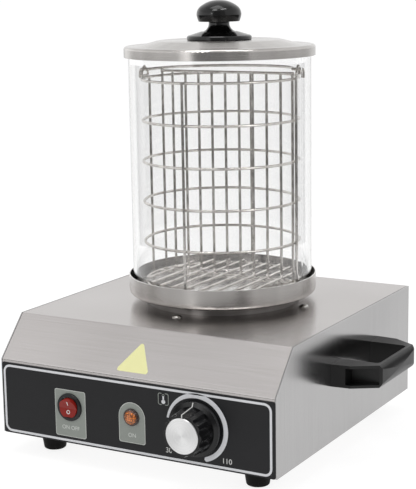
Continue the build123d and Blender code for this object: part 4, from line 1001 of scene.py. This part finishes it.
# %% [markdown]
# ## Lamps
# Three soft lamps light the object: a narrow one in front, a broad one on the right and
# one above. Reflections don't see the one on the right. The view transform is Standard,
# which leaves colours as they are written.

# %% Lamps
LAMPS = (                # name, place, size in metres and power in watts
    ("lamp_front", (-0.33, -2.28, 0.9), 0.35, 5.0),
    ("lamp_right", (1.9, -0.6, 0.9), 1.0, 7.0),
    ("lamp_above", (-0.1, -0.2, 2.2), 1.2, 10.0),
)
AIM = Vector((0.0, 0.0, 0.15))
for name, place, size, power in LAMPS:
    light = bpy.data.lights.new(name, "AREA")
    light.size = size
    light.energy = power
    lamp = bpy.data.objects.new(name, light)
    lamp.location = place
    lamp.rotation_euler = (AIM - Vector(place)).to_track_quat("-Z", "Y").to_euler()
    bpy.context.collection.objects.link(lamp)
    print(name, "gives", power, "W")
bpy.data.objects["lamp_right"].visible_glossy = False
bpy.context.scene.view_settings.view_transform = "Standard"

# %% [markdown]
# ## Screens
# Polished steel in an all-white room looks like grey paint, because everything that it
# mirrors is equally bright. Studios stand grey and black screens round such an object, and
# their reflections draw the dark cores and edges into the lid, the pan and every wire.
# These are curved strips round the tower, and their angles are counted from the camera's
# side to the right. Only reflections find them: they cast no shadow, give matt surfaces
# no light, and a look straight through the glass passes them.
#
# A level of 1 is as bright as the room. Some strips are brighter, for the streaks of light
# in the steel. Two are far brighter and stand high for the lid's knob, whose black plastic
# mirrors only a few parts in a hundred. Steel mirrors them in full, and they are part of
# the reason why the left of the slope turns white from a little left of the front.

# %% Screens
SCREEN_RADIUS = 1.0
SCREEN_STEP = 5          # degrees between the folds of a screen
REFLECTED = 0.5          # a ray that has been mirrored has a glossy depth above this
SCREENS = (              # name, first and last angle, bottom, top and level
    ("screen_low", -130, 130, 0.0, 0.29, 0.12),
    ("screen_front", -33, 7, 0.29, 1.2, 0.34),
    ("screen_front_right", 7, 32, 0.29, 1.2, 0.48),
    ("screen_streak", -48, -33, 0.29, 0.65, 1.7),
    ("screen_high_left", -150, -48, 0.29, 0.7, 1.3),
    ("screen_high_right", 80, 130, 0.29, 0.7, 1.1),
    ("screen_knob_left", -45, -12, 1.3, 2.2, 6.0),
    ("screen_knob_right", 14, 68, 1.9, 2.45, 14.0),
)


def screen_card(name, level, mesh):
    """Makes a card that only reflections see, as bright as its level."""
    felt, shader = start(name, {})
    glow = add(felt, "ShaderNodeEmission", {"Color": (1, 1, 1, 1), "Strength": level})
    ray = add(felt, "ShaderNodeLightPath", {})
    mirrored = add(felt, "ShaderNodeMath", {
        0: ray.outputs["Glossy Depth"], 1: REFLECTED}, operation="GREATER_THAN")
    clear = add(felt, "ShaderNodeBsdfTransparent", {})
    seen = add(felt, "ShaderNodeMixShader", {
        0: mirrored.outputs[0], 1: clear.outputs[0], 2: glow.outputs[0]})
    felt.node_tree.links.new(seen.outputs[0],
                             felt.node_tree.nodes["Material Output"].inputs["Surface"])
    card = mesh_object(name, mesh, felt)
    for ray_kind in ("camera", "diffuse", "shadow"):
        setattr(card, "visible_" + ray_kind, False)


for name, first, last, bottom, top, level in SCREENS:
    mesh = bmesh.new()
    pairs = []
    for angle in range(first, last + 1, SCREEN_STEP):
        turn = CAMERA_YAW + math.radians(angle)
        x = TOWER_X + SCREEN_RADIUS * math.sin(turn)
        y = TOWER_Y - SCREEN_RADIUS * math.cos(turn)
        pairs.append([mesh.verts.new((x, y, z)) for z in (bottom, top)])
    for (low_a, high_a), (low_b, high_b) in zip(pairs, pairs[1:]):
        mesh.faces.new((low_a, low_b, high_b, high_a))
    screen_card(name, level, mesh)

# %% Screen overhead
CEILING_HEIGHT = 2.5
CEILING_RADIUS = 2.0
CEILING_LEVEL = 0.8
mesh = bmesh.new()
bmesh.ops.create_circle(mesh, cap_ends=True, segments=48, radius=CEILING_RADIUS)
bmesh.ops.translate(mesh, verts=mesh.verts, vec=(0, 0, CEILING_HEIGHT))
screen_card("screen_above", CEILING_LEVEL, mesh)
print(len(SCREENS) + 1, "screens")
